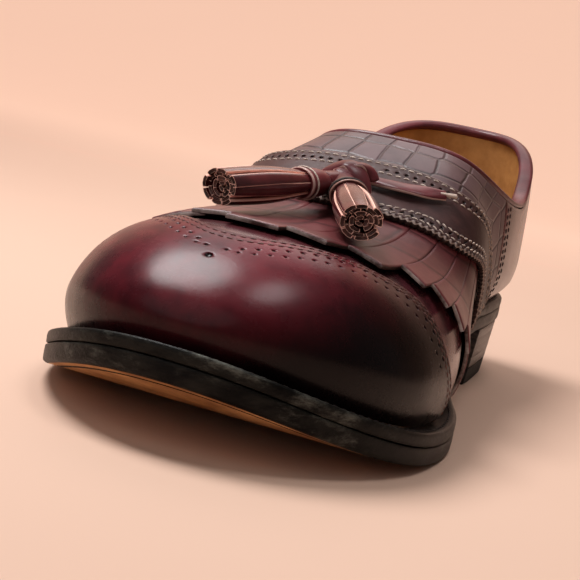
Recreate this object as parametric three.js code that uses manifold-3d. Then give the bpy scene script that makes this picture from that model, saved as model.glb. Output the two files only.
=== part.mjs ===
import * as THREE from 'three';
import { mergeVertices } from 'three/addons/utils/BufferGeometryUtils.js';
import Module from 'manifold-3d';

const wasm = await Module();
wasm.setup();

// Tassel loafer, right shoe, in millimetres. Toe towards -Y, heel towards +Y, +Z up,
// lateral side towards -X. The floor is at z = 0.

// Driving sizes of the last
const LENGTH = 282;
const BALL_WIDTH = 102;
const INSTEP_HEIGHT = 64;
const TOE_SPRING = 15;
const TOE_SPRING_CURVE = 2.2;
const HEEL_HEIGHT = 21;
const COLLAR_SIDE_HEIGHT = 35.5;
const COLLAR_BACK_HEIGHT = 57;
const BACK_LEAN = 5;
const LEAN_FRONT = 0.78;
const BULGE = 3;
const BULGE_HEIGHT = 15;
const BULGE_TURN = 1.1;
const TOPLINE_LOW = 0.5;

// Driving sizes of the pieces
const GAP = 0.3;
const FACET_ROOM = 0.2;
const UPPER_WALL = 2.2;
const SEAM_STEP = 1.1;
const OUTSOLE_THICKNESS = 5;
const WELT_THICKNESS = 4;
const WELT_LEDGE = 5.5;
const WELT_SEAT = 3.5;
const INSOLE_RISE = 1.2;
const TOP_LIFT_THICKNESS = 6;
const HEEL_TAPER = 2;
const EDGE_BEVEL = 1;
const KILTIE_THICKNESS = 1.3;
const KILTIE_LIFT = 0.6;
const STRAP_THICKNESS = 1.5;
const BAND_THICKNESS = 1.3;
const COUNTER_THICKNESS = 1.2;
const BINDING_WIDTH = 5.4;
const BINDING_HEIGHT = 2.8;
const TOPLINE_MARGIN = 1;
const STRIP_SLIT = 0.9;
const STRIP_INSET = 0.1;
const STRIP_ROOT = 0.45;
const STRIP_LAP = 0.6;
const KILTIE_TUCK = 0.42;
const LACE_WIDTH = 7;
const LACE_THICKNESS = 2.2;
const LACE_STEPS = 8;
const KNOT_RADIUS = 8;
const KNOT_DEPTH = 0.8;
const KNOT_FLATNESS = 0.6;
const WRAP_RADIUS = 4.7;
const WRAP_WIDTH = 1.4;
const WRAP_DEPTH = 1.25;
const NECK_DIAMETER = 7.6;
const NECK_LENGTH = 9.5;
const COLLAR_LENGTH = 11;
const COLLAR_TAPER = 5;
const COLLAR_DIAMETER = 10;
const THREAD_DIAMETER = 11.6;
const FRINGE_LENGTH = 35;
const FRINGE_DIAMETER = 12;
const FRINGE_STRIPS = 11;
const FRINGE_FILL = 0.82;
const STRIP_DEPTH = 2.2;
const STRIP_STAGGER = 0.75;
const THREAD_WIDTH = 2;
const FRINGE_HOLLOW = 3;

// Places along the foot, as shares of LENGTH from the toe tip
const FLAT_FRONT = 0.30;
const FLAT_BACK = 0.40;
const SEAT_FRONT = 0.72;
const HEEL_BREAST = 0.74;
const THROAT = 0.56;
const COUNTER_FRONT = 0.68;
const KNOT_PLACE = 0.40;
const TAIL_FRONT = 0.442;
const TAIL_BACK = 0.471;
const TOE_ZONE = 0.20;
const TOE_ROUND = 2.2;
const RIDGE_ZONE = 0.18;
const RIDGE_ROUND = 2.15;
const HEEL_ZONE = 0.13;
const HEEL_ROUND = 2.2;

// One row per section of the last. lateral, medial and lean are shares of BALL_WIDTH: the two
// half widths of the feather line and the sideways shift of the ridge. ridge is a share of
// INSTEP_HEIGHT, round the power of the arch, bulge a share of BULGE, ledge of WELT_LEDGE.
const SECTIONS = [
  { at: 0.00, lateral: 0.38, medial: 0.405, ridge: 0.43, lean: 0.00, round: 2.30, bulge: 1.0, ledge: 1.00 },
  { at: 0.10, lateral: 0.425, medial: 0.452, ridge: 0.60, lean: 0.00, round: 2.35, bulge: 1.0, ledge: 1.00 },
  { at: 0.20, lateral: 0.492, medial: 0.487, ridge: 0.645, lean: 0.01, round: 2.45, bulge: 1.0, ledge: 1.00 },
  { at: 0.30, lateral: 0.528, medial: 0.482, ridge: 0.68, lean: 0.02, round: 2.70, bulge: 1.0, ledge: 1.00 },
  { at: 0.40, lateral: 0.48, medial: 0.425, ridge: 0.752, lean: 0.03, round: 2.80, bulge: 1.1, ledge: 0.85 },
  { at: 0.50, lateral: 0.428, medial: 0.345, ridge: 0.91, lean: 0.03, round: 3.25, bulge: 1.3, ledge: 0.60 },
  { at: 0.60, lateral: 0.365, medial: 0.30, ridge: 0.97, lean: 0.03, round: 2.75, bulge: 1.5, ledge: 0.50 },
  { at: 0.70, lateral: 0.345, medial: 0.30, ridge: 1.16, lean: 0.02, round: 2.50, bulge: 1.6, ledge: 0.42 },
  { at: 0.80, lateral: 0.335, medial: 0.292, ridge: 1.32, lean: 0.01, round: 2.60, bulge: 1.5, ledge: 0.40 },
  { at: 0.90, lateral: 0.325, medial: 0.27, ridge: 1.46, lean: 0.00, round: 2.70, bulge: 1.2, ledge: 0.40 },
  { at: 1.00, lateral: 0.30, medial: 0.26, ridge: 1.52, lean: 0.00, round: 2.70, bulge: 1.0, ledge: 0.40 },
];

// Edges that cross the foot. turn runs from the ridge, 0, down to the feather line, 1 on the
// medial and -1 on the lateral side; the rest are shares of LENGTH from the toe tip.
const CROSSINGS = [
  { turn: -1.00, seam: 0.290, strapFront: 0.560, strapBack: 0.640 },
  { turn: -0.70, seam: 0.243, strapFront: 0.485, strapBack: 0.572 },
  { turn: -0.45, seam: 0.222, strapFront: 0.424, strapBack: 0.510 },
  { turn: -0.20, seam: 0.138, strapFront: 0.396, strapBack: 0.488 },
  { turn: 0.00, seam: 0.103, strapFront: 0.385, strapBack: 0.487 },
  { turn: 0.20, seam: 0.138, strapFront: 0.396, strapBack: 0.488 },
  { turn: 0.45, seam: 0.222, strapFront: 0.424, strapBack: 0.510 },
  { turn: 0.70, seam: 0.243, strapFront: 0.485, strapBack: 0.572 },
  { turn: 1.00, seam: 0.290, strapFront: 0.560, strapBack: 0.640 },
];

// The kiltie's strips: where each ends, and its two edges as turns
const STRIPS = [
  { from: -0.99, to: -0.82, end: 0.400 },
  { from: -0.82, to: -0.70, end: 0.345 },
  { from: -0.70, to: -0.576, end: 0.300 },
  { from: -0.576, to: -0.46, end: 0.273 },
  { from: -0.46, to: -0.336, end: 0.250 },
  { from: -0.336, to: -0.20, end: 0.200 },
  { from: -0.20, to: -0.068, end: 0.154 },
  { from: -0.068, to: 0.068, end: 0.138 },
  { from: 0.068, to: 0.20, end: 0.154 },
  { from: 0.20, to: 0.336, end: 0.200 },
  { from: 0.336, to: 0.46, end: 0.250 },
  { from: 0.46, to: 0.576, end: 0.273 },
  { from: 0.576, to: 0.70, end: 0.300 },
  { from: 0.70, to: 0.82, end: 0.345 },
  { from: 0.82, to: 0.99, end: 0.400 },
];

// Where each tassel's lower end lies: place, turn and height over the upper in millimetres
const TASSELS = [
  { name: 'tassel_lateral', at: 0.204, turn: -0.176, height: 9 },
  { name: 'tassel_medial', at: 0.211, turn: 0.198, height: 9 },
];

// Turns of single features
const SEAM_FOOT = 0.95;
const LOW_TURN = 0.965;
const LEAF_FOOT = 0.985;
const COUNTER_DROP = 0.03;
const KNOT_TURN = -0.011;
const TAIL_START = -0.004;
const TAIL_END = 0.302;

// Mesh steps
const SEAM_STEPS = 12;
const SIDE_STEPS = 15;
const TOE_ROWS = 7;
const BACK_ROWS = 9;
const OUTLINE_STEPS = 28;
const BINDING_SIDES = 6;
const COLUMN_CROWDING = 1.9;
const FOOT_CROWDING = 1.5;
const COUNTER_CROWDING = 1.3;
const SEAM_SLOPE = 0.04;

const SOLE_TOP = OUTSOLE_THICKNESS + WELT_THICKNESS;
const FEATHER = SOLE_TOP + GAP;
const QUARTER_TURN = Math.PI / 2;

// Arithmetic

function clamp(value, low, high) {
  return Math.min(Math.max(value, low), high);
}

function smooth(value) {
  const k = clamp(value, 0, 1);
  return k * k * (3 - 2 * k);
}

function mix(a, b, k) {
  return a + (b - a) * k;
}

// Natural cubic spline through one column of a table
function column(rows, key, name) {
  const x = rows.map((row) => row[key]);
  const y = rows.map((row) => row[name]);
  const n = x.length;
  const bend = new Array(n).fill(0);
  const share = new Array(n).fill(0);
  for (let i = 1; i < n - 1; i += 1) {
    const before = x[i] - x[i - 1];
    const after = x[i + 1] - x[i];
    const pull = 6 * ((y[i + 1] - y[i]) / after - (y[i] - y[i - 1]) / before);
    const pivot = 2 * (before + after) - before * share[i - 1];
    share[i] = after / pivot;
    bend[i] = (pull - before * bend[i - 1]) / pivot;
  }
  for (let i = n - 2; i > 0; i -= 1) bend[i] -= share[i] * bend[i + 1];
  return (at) => {
    let i = 0;
    while (i < n - 2 && at > x[i + 1]) i += 1;
    const step = x[i + 1] - x[i];
    const t = at - x[i];
    const slope = (y[i + 1] - y[i]) / step - (step * (2 * bend[i] + bend[i + 1])) / 6;
    return y[i] + t * slope + (t * t * bend[i]) / 2 + (t ** 3 * (bend[i + 1] - bend[i])) / (6 * step);
  };
}

function columns(rows, key) {
  const names = Object.keys(rows[0]).filter((name) => name !== key);
  return Object.fromEntries(names.map((name) => [name, column(rows, key, name)]));
}

const last = columns(SECTIONS, 'at');
const crossing = columns(CROSSINGS, 'turn');

// The parameters that cut a curve into equal lengths, or shorter ones first when crowded
function spread(curve, count, crowding = 1) {
  const fine = 240;
  const reach = [0];
  let previous = curve(0);
  for (let i = 1; i <= fine; i += 1) {
    const point = curve(i / fine);
    reach.push(reach[i - 1] + point.distanceTo(previous));
    previous = point;
  }
  const places = [];
  let i = 0;
  for (let k = 0; k <= count; k += 1) {
    const wanted = reach[fine] * (k / count) ** crowding;
    while (i < fine - 1 && reach[i + 1] < wanted) i += 1;
    places.push((i + clamp((wanted - reach[i]) / (reach[i + 1] - reach[i]), 0, 1)) / fine);
  }
  return places;
}

// The last

function roundEnd(distance, zone, power) {
  const k = clamp(1 - distance / zone, 0, 1);
  return (1 - k ** power) ** (1 / power);
}

// Height of the outsole's underside over the floor
function clearance(at) {
  const toe = TOE_SPRING * Math.max(0, (FLAT_FRONT - at) / FLAT_FRONT) ** TOE_SPRING_CURVE;
  return toe + HEEL_HEIGHT * smooth((at - FLAT_BACK) / (SEAT_FRONT - FLAT_BACK));
}

function clearanceAtY(y) {
  return clearance(y / LENGTH + 0.5);
}

function ridgeHeight(at) {
  return INSTEP_HEIGHT * last.ridge(at) * roundEnd(at, RIDGE_ZONE, RIDGE_ROUND);
}

function halfWidth(at, side) {
  const share = side < 0 ? last.lateral(at) : last.medial(at);
  return BALL_WIDTH * share * roundEnd(at, TOE_ZONE, TOE_ROUND) * roundEnd(1 - at, HEEL_ZONE, HEEL_ROUND);
}

// A point of the upper's outside. angle runs from the lateral feather line, 0, over the ridge
// to the medial feather line, pi.
function skin(at, angle) {
  const s = clamp(at, 0, 1);
  const power = 2 / last.round(s);
  const side = Math.cos(angle) > 0 ? -1 : 1;
  const across = Math.abs(Math.cos(angle)) ** power;
  const up = Math.abs(Math.sin(angle)) ** power;
  const rise = ridgeHeight(s) * up;
  const front = clamp(1 - s / TOE_ZONE, 0, 1) ** BULGE_TURN;
  const back = clamp(1 - (1 - s) / HEEL_ZONE, 0, 1) ** BULGE_TURN;
  const flank = Math.sqrt(Math.max(0, 1 - front * front - back * back));
  const swell = BULGE * last.bulge(s) * (1 - (1 - clamp(rise / BULGE_HEIGHT, 0, 1)) ** 2);
  const lean = BACK_LEAN * smooth((s - LEAN_FRONT) / (1 - LEAN_FRONT)) * smooth(rise / COLLAR_BACK_HEIGHT);
  return new THREE.Vector3(
    side * across * (halfWidth(s, side) + swell * flank) + last.lean(s) * BALL_WIDTH * up * up,
    LENGTH * (s - 0.5) + swell * (back - front) - lean,
    FEATHER + clearance(s) + rise,
  );
}

function outward(at, angle) {
  const step = 1e-3;
  const s = clamp(at, 2 * step, 1 - 2 * step);
  const a = clamp(angle, 2 * step, Math.PI - 2 * step);
  const along = skin(s + step, a).sub(skin(s - step, a));
  const round = skin(s, a + step).sub(skin(s, a - step));
  return round.cross(along).normalize();
}

function above(at, angle, offset) {
  return skin(at, angle).addScaledVector(outward(at, angle), offset);
}

function angleOf(turn) {
  return QUARTER_TURN * (1 + turn);
}

// The topline: its height and the turn it reaches at each place behind the throat
function toplineHeight(at) {
  const along = (at - THROAT) / (1 - THROAT);
  const seat = FEATHER + HEEL_HEIGHT;
  const front = FEATHER + clearance(THROAT) + ridgeHeight(THROAT) - seat;
  const drop = (front - COLLAR_SIDE_HEIGHT) * Math.max(0, 1 - along / TOPLINE_LOW) ** 2;
  const rise = (COLLAR_BACK_HEIGHT - COLLAR_SIDE_HEIGHT) * smooth((along - TOPLINE_LOW) / (1 - TOPLINE_LOW));
  return seat + COLLAR_SIDE_HEIGHT + drop + rise;
}

function toplineTurn(at) {
  const share = (toplineHeight(at) - FEATHER - clearance(at)) / ridgeHeight(at);
  return 1 - Math.asin(clamp(share, 0, 1) ** (last.round(at) / 2)) / QUARTER_TURN;
}

// Place of the topline at a turn, on its way down from the throat to the side
function toplinePlace(turn) {
  let low = THROAT;
  let high = mix(THROAT, 1, TOPLINE_LOW);
  for (let i = 0; i < 40; i += 1) {
    const middle = (low + high) / 2;
    if (toplineTurn(middle) < Math.abs(turn)) low = middle;
    else high = middle;
  }
  return low;
}

// Plan outline of the feather line moved outward by grow(at), from the toe tip round the
// lateral side to the heel and back along the medial side
function outlinePoint(at, side, grow) {
  const step = 1e-4;
  const s = clamp(at, step, 1 - step);
  const slope = (halfWidth(s + step, side) - halfWidth(s - step, side)) / (2 * step);
  const length = Math.hypot(LENGTH, slope);
  return new THREE.Vector3(
    side * (halfWidth(at, side) + (LENGTH / length) * grow(at)),
    LENGTH * (at - 0.5) - (slope / length) * grow(at),
    0,
  );
}

function outlinePlaces(side, from, count) {
  const share = (k) => (from > 0 ? Math.sin(k * QUARTER_TURN) : (1 - Math.cos(k * Math.PI)) / 2);
  const place = (k) => mix(from, 1, share(k));
  const curve = (k) => outlinePoint(place(k), side, () => 0);
  return spread(curve, count).map(place);
}

const lateralPlaces = outlinePlaces(-1, 0, OUTLINE_STEPS);
const medialPlaces = outlinePlaces(1, 0, OUTLINE_STEPS);

function outline(grow) {
  const lateral = lateralPlaces.map((at) => outlinePoint(at, -1, grow));
  const medial = medialPlaces.map((at) => outlinePoint(at, 1, grow));
  return [...lateral, ...medial.slice(1, -1).reverse()];
}

function ledge(change) {
  return (at) => WELT_LEDGE * last.ledge(at) + change;
}

// Closed meshes

function body(points, triangles) {
  const positions = points.flatMap((point) => [point.x, point.y, point.z]);
  let volume = 0;
  for (let i = 0; i < triangles.length; i += 3) {
    const [a, b, c] = [points[triangles[i]], points[triangles[i + 1]], points[triangles[i + 2]]];
    volume += a.dot(new THREE.Vector3().crossVectors(b, c));
  }
  const order = volume < 0 ? triangles.toReversed() : triangles;
  const geometry = new THREE.BufferGeometry();
  geometry.setAttribute('position', new THREE.Float32BufferAttribute(positions, 3));
  geometry.setIndex(order);
  return geometry;
}

// A wall between two grids of columns. A looped wall's columns close on themselves.
function wall(outer, inner, looped) {
  const count = outer.length;
  const rows = outer[0].length;
  const points = [...outer.flat(), ...inner.flat()];
  const back = count * rows;
  const triangles = [];
  const quad = (a, b, c, d) => triangles.push(a, b, c, a, c, d);
  const spans = looped ? count : count - 1;
  for (let i = 0; i < spans; i += 1) {
    const here = i * rows;
    const next = ((i + 1) % count) * rows;
    for (let j = 0; j < rows - 1; j += 1) {
      quad(here + j, next + j, next + j + 1, here + j + 1);
      quad(back + here + j + 1, back + next + j + 1, back + next + j, back + here + j);
    }
    quad(here, back + here, back + next, next);
    quad(here + rows - 1, next + rows - 1, back + next + rows - 1, back + here + rows - 1);
  }
  if (!looped) {
    const end = (count - 1) * rows;
    for (let j = 0; j < rows - 1; j += 1) {
      quad(j, j + 1, back + j + 1, back + j);
      quad(end + j + 1, end + j, back + end + j, back + end + j + 1);
    }
  }
  return body(points, triangles);
}

// A closed profile carried round a loop of frames
function ring(profiles) {
  const count = profiles.length;
  const sides = profiles[0].length;
  const triangles = [];
  for (let i = 0; i < count; i += 1) {
    const here = i * sides;
    const next = ((i + 1) % count) * sides;
    for (let j = 0; j < sides; j += 1) {
      const k = (j + 1) % sides;
      triangles.push(here + j, next + j, next + k, here + j, next + k, here + k);
    }
  }
  return body(profiles.flat(), triangles);
}

// A plate of stacked outlines, closed below and above by strips across the foot. The outlines
// run from the front end round one side to the back end and return along the other.
function plate(levels) {
  const count = levels[0].length;
  const triangles = [];
  for (let k = 0; k < levels.length - 1; k += 1) {
    for (let i = 0; i < count; i += 1) {
      const j = (i + 1) % count;
      const [low, high] = [k * count, (k + 1) * count];
      triangles.push(low + i, low + j, high + j, low + i, high + j, high + i);
    }
  }
  const cap = (base, turned) => {
    for (let i = 0; i < count / 2; i += 1) {
      const left = [base + i, base + i + 1];
      const right = [base + ((count - i) % count), base + ((count - i - 1) % count)];
      const faces = [left[0], right[1], left[1], left[0], right[0], right[1]];
      for (let f = 0; f < 6; f += 3) {
        const face = faces.slice(f, f + 3);
        if (new Set(face).size === 3) triangles.push(...(turned ? face.toReversed() : face));
      }
    }
  };
  cap(0, false);
  cap((levels.length - 1) * count, true);
  return body(levels.flat(), triangles);
}

function solid(geometry) {
  const plain = geometry.clone();
  plain.deleteAttribute('normal');
  plain.deleteAttribute('uv');
  const merged = mergeVertices(plain, 1e-4);
  const mesh = new wasm.Mesh({
    numProp: 3,
    vertProperties: new Float32Array(merged.attributes.position.array),
    triVerts: new Uint32Array(merged.index.array),
  });
  return new wasm.Manifold(mesh);
}

function joined(geometries) {
  const whole = geometries.map(solid).reduce((sum, piece) => sum.add(piece));
  const mesh = whole.getMesh();
  const geometry = new THREE.BufferGeometry();
  geometry.setAttribute('position', new THREE.BufferAttribute(new Float32Array(mesh.vertProperties), 3));
  geometry.setIndex(new THREE.BufferAttribute(new Uint32Array(mesh.triVerts), 1));
  return geometry;
}

// Sole pieces

// An outline lifted to a height over the underside of the outsole
function lifted(points, height) {
  return points.map((point) => new THREE.Vector3(point.x, point.y, clearanceAtY(point.y) + height));
}

function outsole() {
  const top = OUTSOLE_THICKNESS;
  return plate([
    lifted(outline(ledge(-EDGE_BEVEL)), 0),
    lifted(outline(ledge(0)), EDGE_BEVEL),
    lifted(outline(ledge(0)), top - EDGE_BEVEL),
    lifted(outline(ledge(-EDGE_BEVEL / 2)), top),
  ]);
}

function welt() {
  const low = OUTSOLE_THICKNESS + GAP;
  const levels = [
    lifted(outline(ledge(-EDGE_BEVEL / 2)), low),
    lifted(outline(ledge(0)), low + EDGE_BEVEL),
    lifted(outline(ledge(-EDGE_BEVEL / 4)), SOLE_TOP - EDGE_BEVEL),
    lifted(outline(ledge(-EDGE_BEVEL)), SOLE_TOP),
    lifted(outline(() => -WELT_SEAT), SOLE_TOP),
    lifted(outline(() => -WELT_SEAT), low),
  ];
  return ring(levels[0].map((_, i) => levels.map((level) => level[i])));
}

function insole() {
  const edge = outline(() => -WELT_SEAT - GAP);
  return plate([
    lifted(edge, OUTSOLE_THICKNESS + GAP),
    lifted(edge, SOLE_TOP + INSOLE_RISE),
  ]);
}

// The heel's outline, from the middle of its breast round the lateral side to the back
function heelOutline(taper) {
  const grow = ledge(-taper);
  const side = (sign) => outlinePlaces(sign, HEEL_BREAST, 16).map((at) => outlinePoint(at, sign, grow));
  const breast = LENGTH * (HEEL_BREAST - 0.5);
  const front = new THREE.Vector3(0, breast + HEEL_TAPER, 0);
  return [front, ...side(-1), ...side(1).slice(0, -1).reverse()];
}

function flatAt(points, height) {
  return points.map((point) => new THREE.Vector3(point.x, point.y, height));
}

function heelStack() {
  return plate([
    flatAt(heelOutline(HEEL_TAPER * 0.75), TOP_LIFT_THICKNESS + GAP),
    flatAt(heelOutline(EDGE_BEVEL / 2), HEEL_HEIGHT - GAP),
  ]);
}

function heelTopLift() {
  return plate([
    flatAt(heelOutline(HEEL_TAPER + EDGE_BEVEL / 2), 0),
    flatAt(heelOutline(HEEL_TAPER), EDGE_BEVEL),
    flatAt(heelOutline(HEEL_TAPER * 0.75), TOP_LIFT_THICKNESS),
  ]);
}

// The upper

// Place and angle of a point given on the plan
function fromPlan(x, y) {
  const at = clamp(y / LENGTH + 0.5, 0, 1);
  const side = x < 0 ? -1 : 1;
  const width = halfWidth(at, side);
  const share = width > 0 ? clamp(Math.abs(x) / width, 0, 1) : 1;
  const angle = Math.acos(share ** (last.round(at) / 2));
  return [at, side < 0 ? angle : Math.PI - angle];
}

function planOf(at, turn) {
  const side = turn < 0 ? -1 : 1;
  const share = Math.cos(QUARTER_TURN * (1 - Math.abs(turn))) ** (2 / last.round(at));
  return [side * halfWidth(at, side) * share, LENGTH * (at - 0.5)];
}

// One side's columns as lists of [place, angle, offset], toe or throat first
function upperColumns(side) {
  const seamPoint = (k) => {
    const turn = side * SEAM_FOOT * k;
    return skin(crossing.seam(turn), angleOf(turn));
  };
  const seamTurns = spread(seamPoint, SEAM_STEPS).map((k) => side * SEAM_FOOT * k);
  const foot = crossing.seam(side * SEAM_FOOT);
  const toePlace = (k) => foot * k * k;
  const toePoint = (k) => outlinePoint(toePlace(k), side, () => 0);
  const toePlaces = spread(toePoint, SEAM_STEPS).map(toePlace);
  const sidePlace = (k) => foot + (1 - foot) * Math.sin(k * QUARTER_TURN);
  const sidePoint = (k) => outlinePoint(sidePlace(k), side, () => 0);
  const sidePlaces = spread(sidePoint, SIDE_STEPS).map(sidePlace);
  const topPlace = (k) => THROAT + ((1 - THROAT) * (1 - Math.cos(k * Math.PI))) / 2;
  const topPoint = (k) => skin(topPlace(k), angleOf(side * toplineTurn(topPlace(k))));
  const topPlaces = spread(topPoint, SEAM_STEPS + SIDE_STEPS, COLUMN_CROWDING).map(topPlace);
  return topPlaces.map((top, k) => {
    const onSeam = k <= SEAM_STEPS;
    const low = onSeam ? toePlaces[k] : sidePlaces[k - SEAM_STEPS];
    const turn = onSeam ? seamTurns[k] : side * LOW_TURN;
    const middle = onSeam ? crossing.seam(turn) : low;
    const fade = onSeam ? 1 : 1 - smooth((k - SEAM_STEPS) / 3);
    const step = SEAM_STEP * fade;
    const [lowX, lowY] = planOf(low, side);
    const [middleX, middleY] = planOf(middle, turn);
    const climb = (j) => {
      if (!onSeam || k === SEAM_STEPS) return [mix(low, middle, j), mix(angleOf(side), angleOf(turn), j)];
      return fromPlan(mix(lowX, middleX, j * j) + side * 1e-6, mix(lowY, middleY, j * j));
    };
    const rise = (j) => [mix(middle, top, j), mix(angleOf(turn), angleOf(side * toplineTurn(top)), j)];
    const toeRows = spread((j) => skin(...climb(j)), TOE_ROWS).map((j) => [...climb(j), step]);
    const backRows = spread((j) => skin(...rise(j)), BACK_ROWS).map((j) => [...rise(j), 0]);
    return { toeRows, backRows };
  });
}

function upperGrid() {
  const lateral = upperColumns(-1);
  const medial = upperColumns(1);
  return [...lateral, ...medial.slice(1, -1).reverse()];
}

// Outward normals of a grid of columns that run up from the feather line
function gridNormals(grid, looped) {
  const count = grid.length;
  const last = grid[0].length - 1;
  const neighbour = (i) => (looped ? (i + count) % count : clamp(i, 0, count - 1));
  return grid.map((points, i) => points.map((_, j) => {
    const along = new THREE.Vector3().subVectors(grid[neighbour(i + 1)][j], grid[neighbour(i - 1)][j]);
    const up = new THREE.Vector3().subVectors(points[Math.min(j + 1, last)], points[Math.max(j - 1, 0)]);
    return up.cross(along).normalize();
  }));
}

function moved(grid, normals, offset) {
  const shift = (point, normal) => point.clone().addScaledVector(normal, offset);
  return grid.map((points, i) => points.map((point, j) => shift(point, normals[i][j])));
}

function plainUpper() {
  return upperGrid().map(({ toeRows, backRows }) => [...toeRows, ...backRows.slice(1)]
    .map(([at, angle]) => skin(at, angle)));
}

// The wall, with the vamp's rear edge as a step in its outside
function upper() {
  const plain = plainUpper();
  const normals = gridNormals(plain, true);
  const stepHeights = upperGrid().map(({ toeRows }) => toeRows[0][2]);
  const doubled = (points, share) => {
    const edge = points[TOE_ROWS].clone().lerp(points[TOE_ROWS + 1], share);
    return [...points.slice(0, TOE_ROWS + 1), edge, ...points.slice(TOE_ROWS + 1)];
  };
  const outer = plain.map((points, i) => {
    const raise = (j) => (j > TOE_ROWS ? 0 : stepHeights[i] * smooth(j / 2));
    const flat = doubled(points, SEAM_SLOPE);
    return flat.map((point, j) => point.clone().addScaledVector(normals[i][Math.min(j, TOE_ROWS)], raise(j)));
  });
  const inner = moved(plain, normals, -UPPER_WALL).map((points) => doubled(points, SEAM_SLOPE));
  return wall(outer, inner, true);
}

// Overlays on the upper

// A leaf between two crossing edges, laid over the upper between two turns
function leaf(front, back, turns, places, low, thickness) {
  const column = (turn, raised) => places.map((k) => {
    const at = mix(front(turn), back(turn), k);
    return above(at, angleOf(turn), low(at, turn) + raised);
  });
  const outer = turns.map((turn) => column(turn, thickness));
  const inner = turns.map((turn) => column(turn, 0));
  return wall(outer, inner, false);
}

function steps(from, to, count) {
  return Array.from({ length: count + 1 }, (_, i) => mix(from, to, i / count));
}

// Turns from foot to foot, closer together near the feather line
function footTurns(count) {
  return steps(-1, 1, count).map((k) => Math.sign(k) * LEAF_FOOT * (1 - (1 - Math.abs(k)) ** FOOT_CROWDING));
}

const KILTIE_LOW = GAP + FACET_ROOM * 2;
const KILTIE_TOP = KILTIE_LOW + KILTIE_THICKNESS;
const STRAP_LOW = KILTIE_TOP + GAP + FACET_ROOM;
const STRAP_TOP = STRAP_LOW + STRAP_THICKNESS;

function kiltieBack(turn) {
  return mix(crossing.strapFront(turn), crossing.strapBack(turn), KILTIE_TUCK);
}

function bandFront(turn) {
  return kiltieBack(turn) + (2 * GAP) / LENGTH;
}

// The kiltie rises off the vamp towards its free ends
function kiltieLow(at, turn) {
  const k = clamp((crossing.strapFront(turn) - at) / (crossing.strapFront(0) - crossing.seam(0)), 0, 1);
  return KILTIE_LOW + KILTIE_LIFT * k * k;
}

function kiltie() {
  const root = (turn) => mix(crossing.strapFront(turn), stripEnd(turn), STRIP_ROOT);
  const base = leaf(root, kiltieBack, footTurns(28), steps(0, 1, 4), kiltieLow, KILTIE_THICKNESS);
  const strips = STRIPS.map((strip) => {
    const slit = STRIP_SLIT / (Math.PI * BALL_WIDTH * STRIP_ROOT);
    const turns = steps(strip.from + slit, strip.to - slit, 2);
    const rear = (turn) => mix(crossing.strapFront(turn), root(turn), STRIP_LAP);
    const inset = (at, turn) => kiltieLow(at, turn) + STRIP_INSET;
    return leaf(() => strip.end, rear, turns, steps(0, 1, 2), inset, KILTIE_THICKNESS - 2 * STRIP_INSET);
  });
  return joined([base, ...strips]);
}

function stripEnd(turn) {
  const strip = STRIPS.find(({ to }) => turn <= to) ?? STRIPS[STRIPS.length - 1];
  return strip.end;
}

function saddleStrap() {
  const low = () => STRAP_LOW;
  return leaf(crossing.strapFront, crossing.strapBack, footTurns(28), steps(0, 1, 3), low, STRAP_THICKNESS);
}

function instepBand() {
  const back = (turn) => {
    const rim = toplinePlace(turn) - TOPLINE_MARGIN / LENGTH;
    return Math.min(rim, COUNTER_FRONT - (2 * GAP) / LENGTH);
  };
  const low = () => GAP + FACET_ROOM;
  return leaf(bandFront, back, footTurns(28), steps(0, 1, 5), low, BAND_THICKNESS - FACET_ROOM);
}

// The counter runs round the heel from one side's front edge to the other's
function heelCounter() {
  const column = (at, side) => {
    const top = toplineTurn(at) + COUNTER_DROP;
    const turns = steps(0, 1, 6).map((k) => mix(LEAF_FOOT, top, k ** COUNTER_CROWDING));
    return turns.map((turn) => skin(at, angleOf(side * turn)));
  };
  const places = (side) => outlinePlaces(side, COUNTER_FRONT, 18);
  const grid = [
    ...places(-1).map((at) => column(at, -1)),
    ...places(1).slice(0, -1).reverse().map((at) => column(at, 1)),
  ];
  const normals = gridNormals(grid, false);
  const low = GAP + FACET_ROOM;
  return wall(moved(grid, normals, low + COUNTER_THICKNESS), moved(grid, normals, low), false);
}

// A rounded bead that caps the wall's upper edge
function toplineBinding() {
  const grid = plainUpper();
  const normals = gridNormals(grid, true);
  const rows = grid[0].length;
  return ring(grid.map((points, i) => {
    const normal = normals[i][rows - 1];
    const up = new THREE.Vector3().subVectors(points[rows - 1], points[rows - 2]).normalize();
    const centre = points[rows - 1].clone().addScaledVector(normal, -UPPER_WALL / 2);
    return steps(0, 2 * Math.PI, BINDING_SIDES).slice(1).map((angle) => centre.clone()
      .addScaledVector(normal, (BINDING_WIDTH / 2) * Math.cos(angle))
      .addScaledVector(up, GAP + (BINDING_HEIGHT / 2) * (1 + Math.sin(angle))));
  }));
}

// The ornament on the strap

// Axes at a point over the upper: towards the medial side, towards the heel, and outward
function frameAt(at, turn, height) {
  const origin = above(at, angleOf(turn), height);
  const up = outward(at, angleOf(turn));
  const heelward = above(at + 0.01, angleOf(turn), height).sub(origin);
  const across = new THREE.Vector3().crossVectors(heelward, up).normalize();
  heelward.crossVectors(up, across).normalize();
  return new THREE.Matrix4().makeBasis(across, heelward, up).setPosition(origin);
}

const knotFrame = frameAt(KNOT_PLACE, KNOT_TURN, STRAP_TOP + GAP + KNOT_RADIUS * KNOT_FLATNESS);
const knotCentre = new THREE.Vector3().setFromMatrixPosition(knotFrame);

function tasselEnd({ at, turn, height }) {
  return above(at, angleOf(turn), height);
}

function towards(from, direction) {
  const turn = new THREE.Quaternion().setFromUnitVectors(new THREE.Vector3(0, 1, 0), direction);
  return new THREE.Matrix4().compose(from, turn, new THREE.Vector3(1, 1, 1));
}

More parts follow.
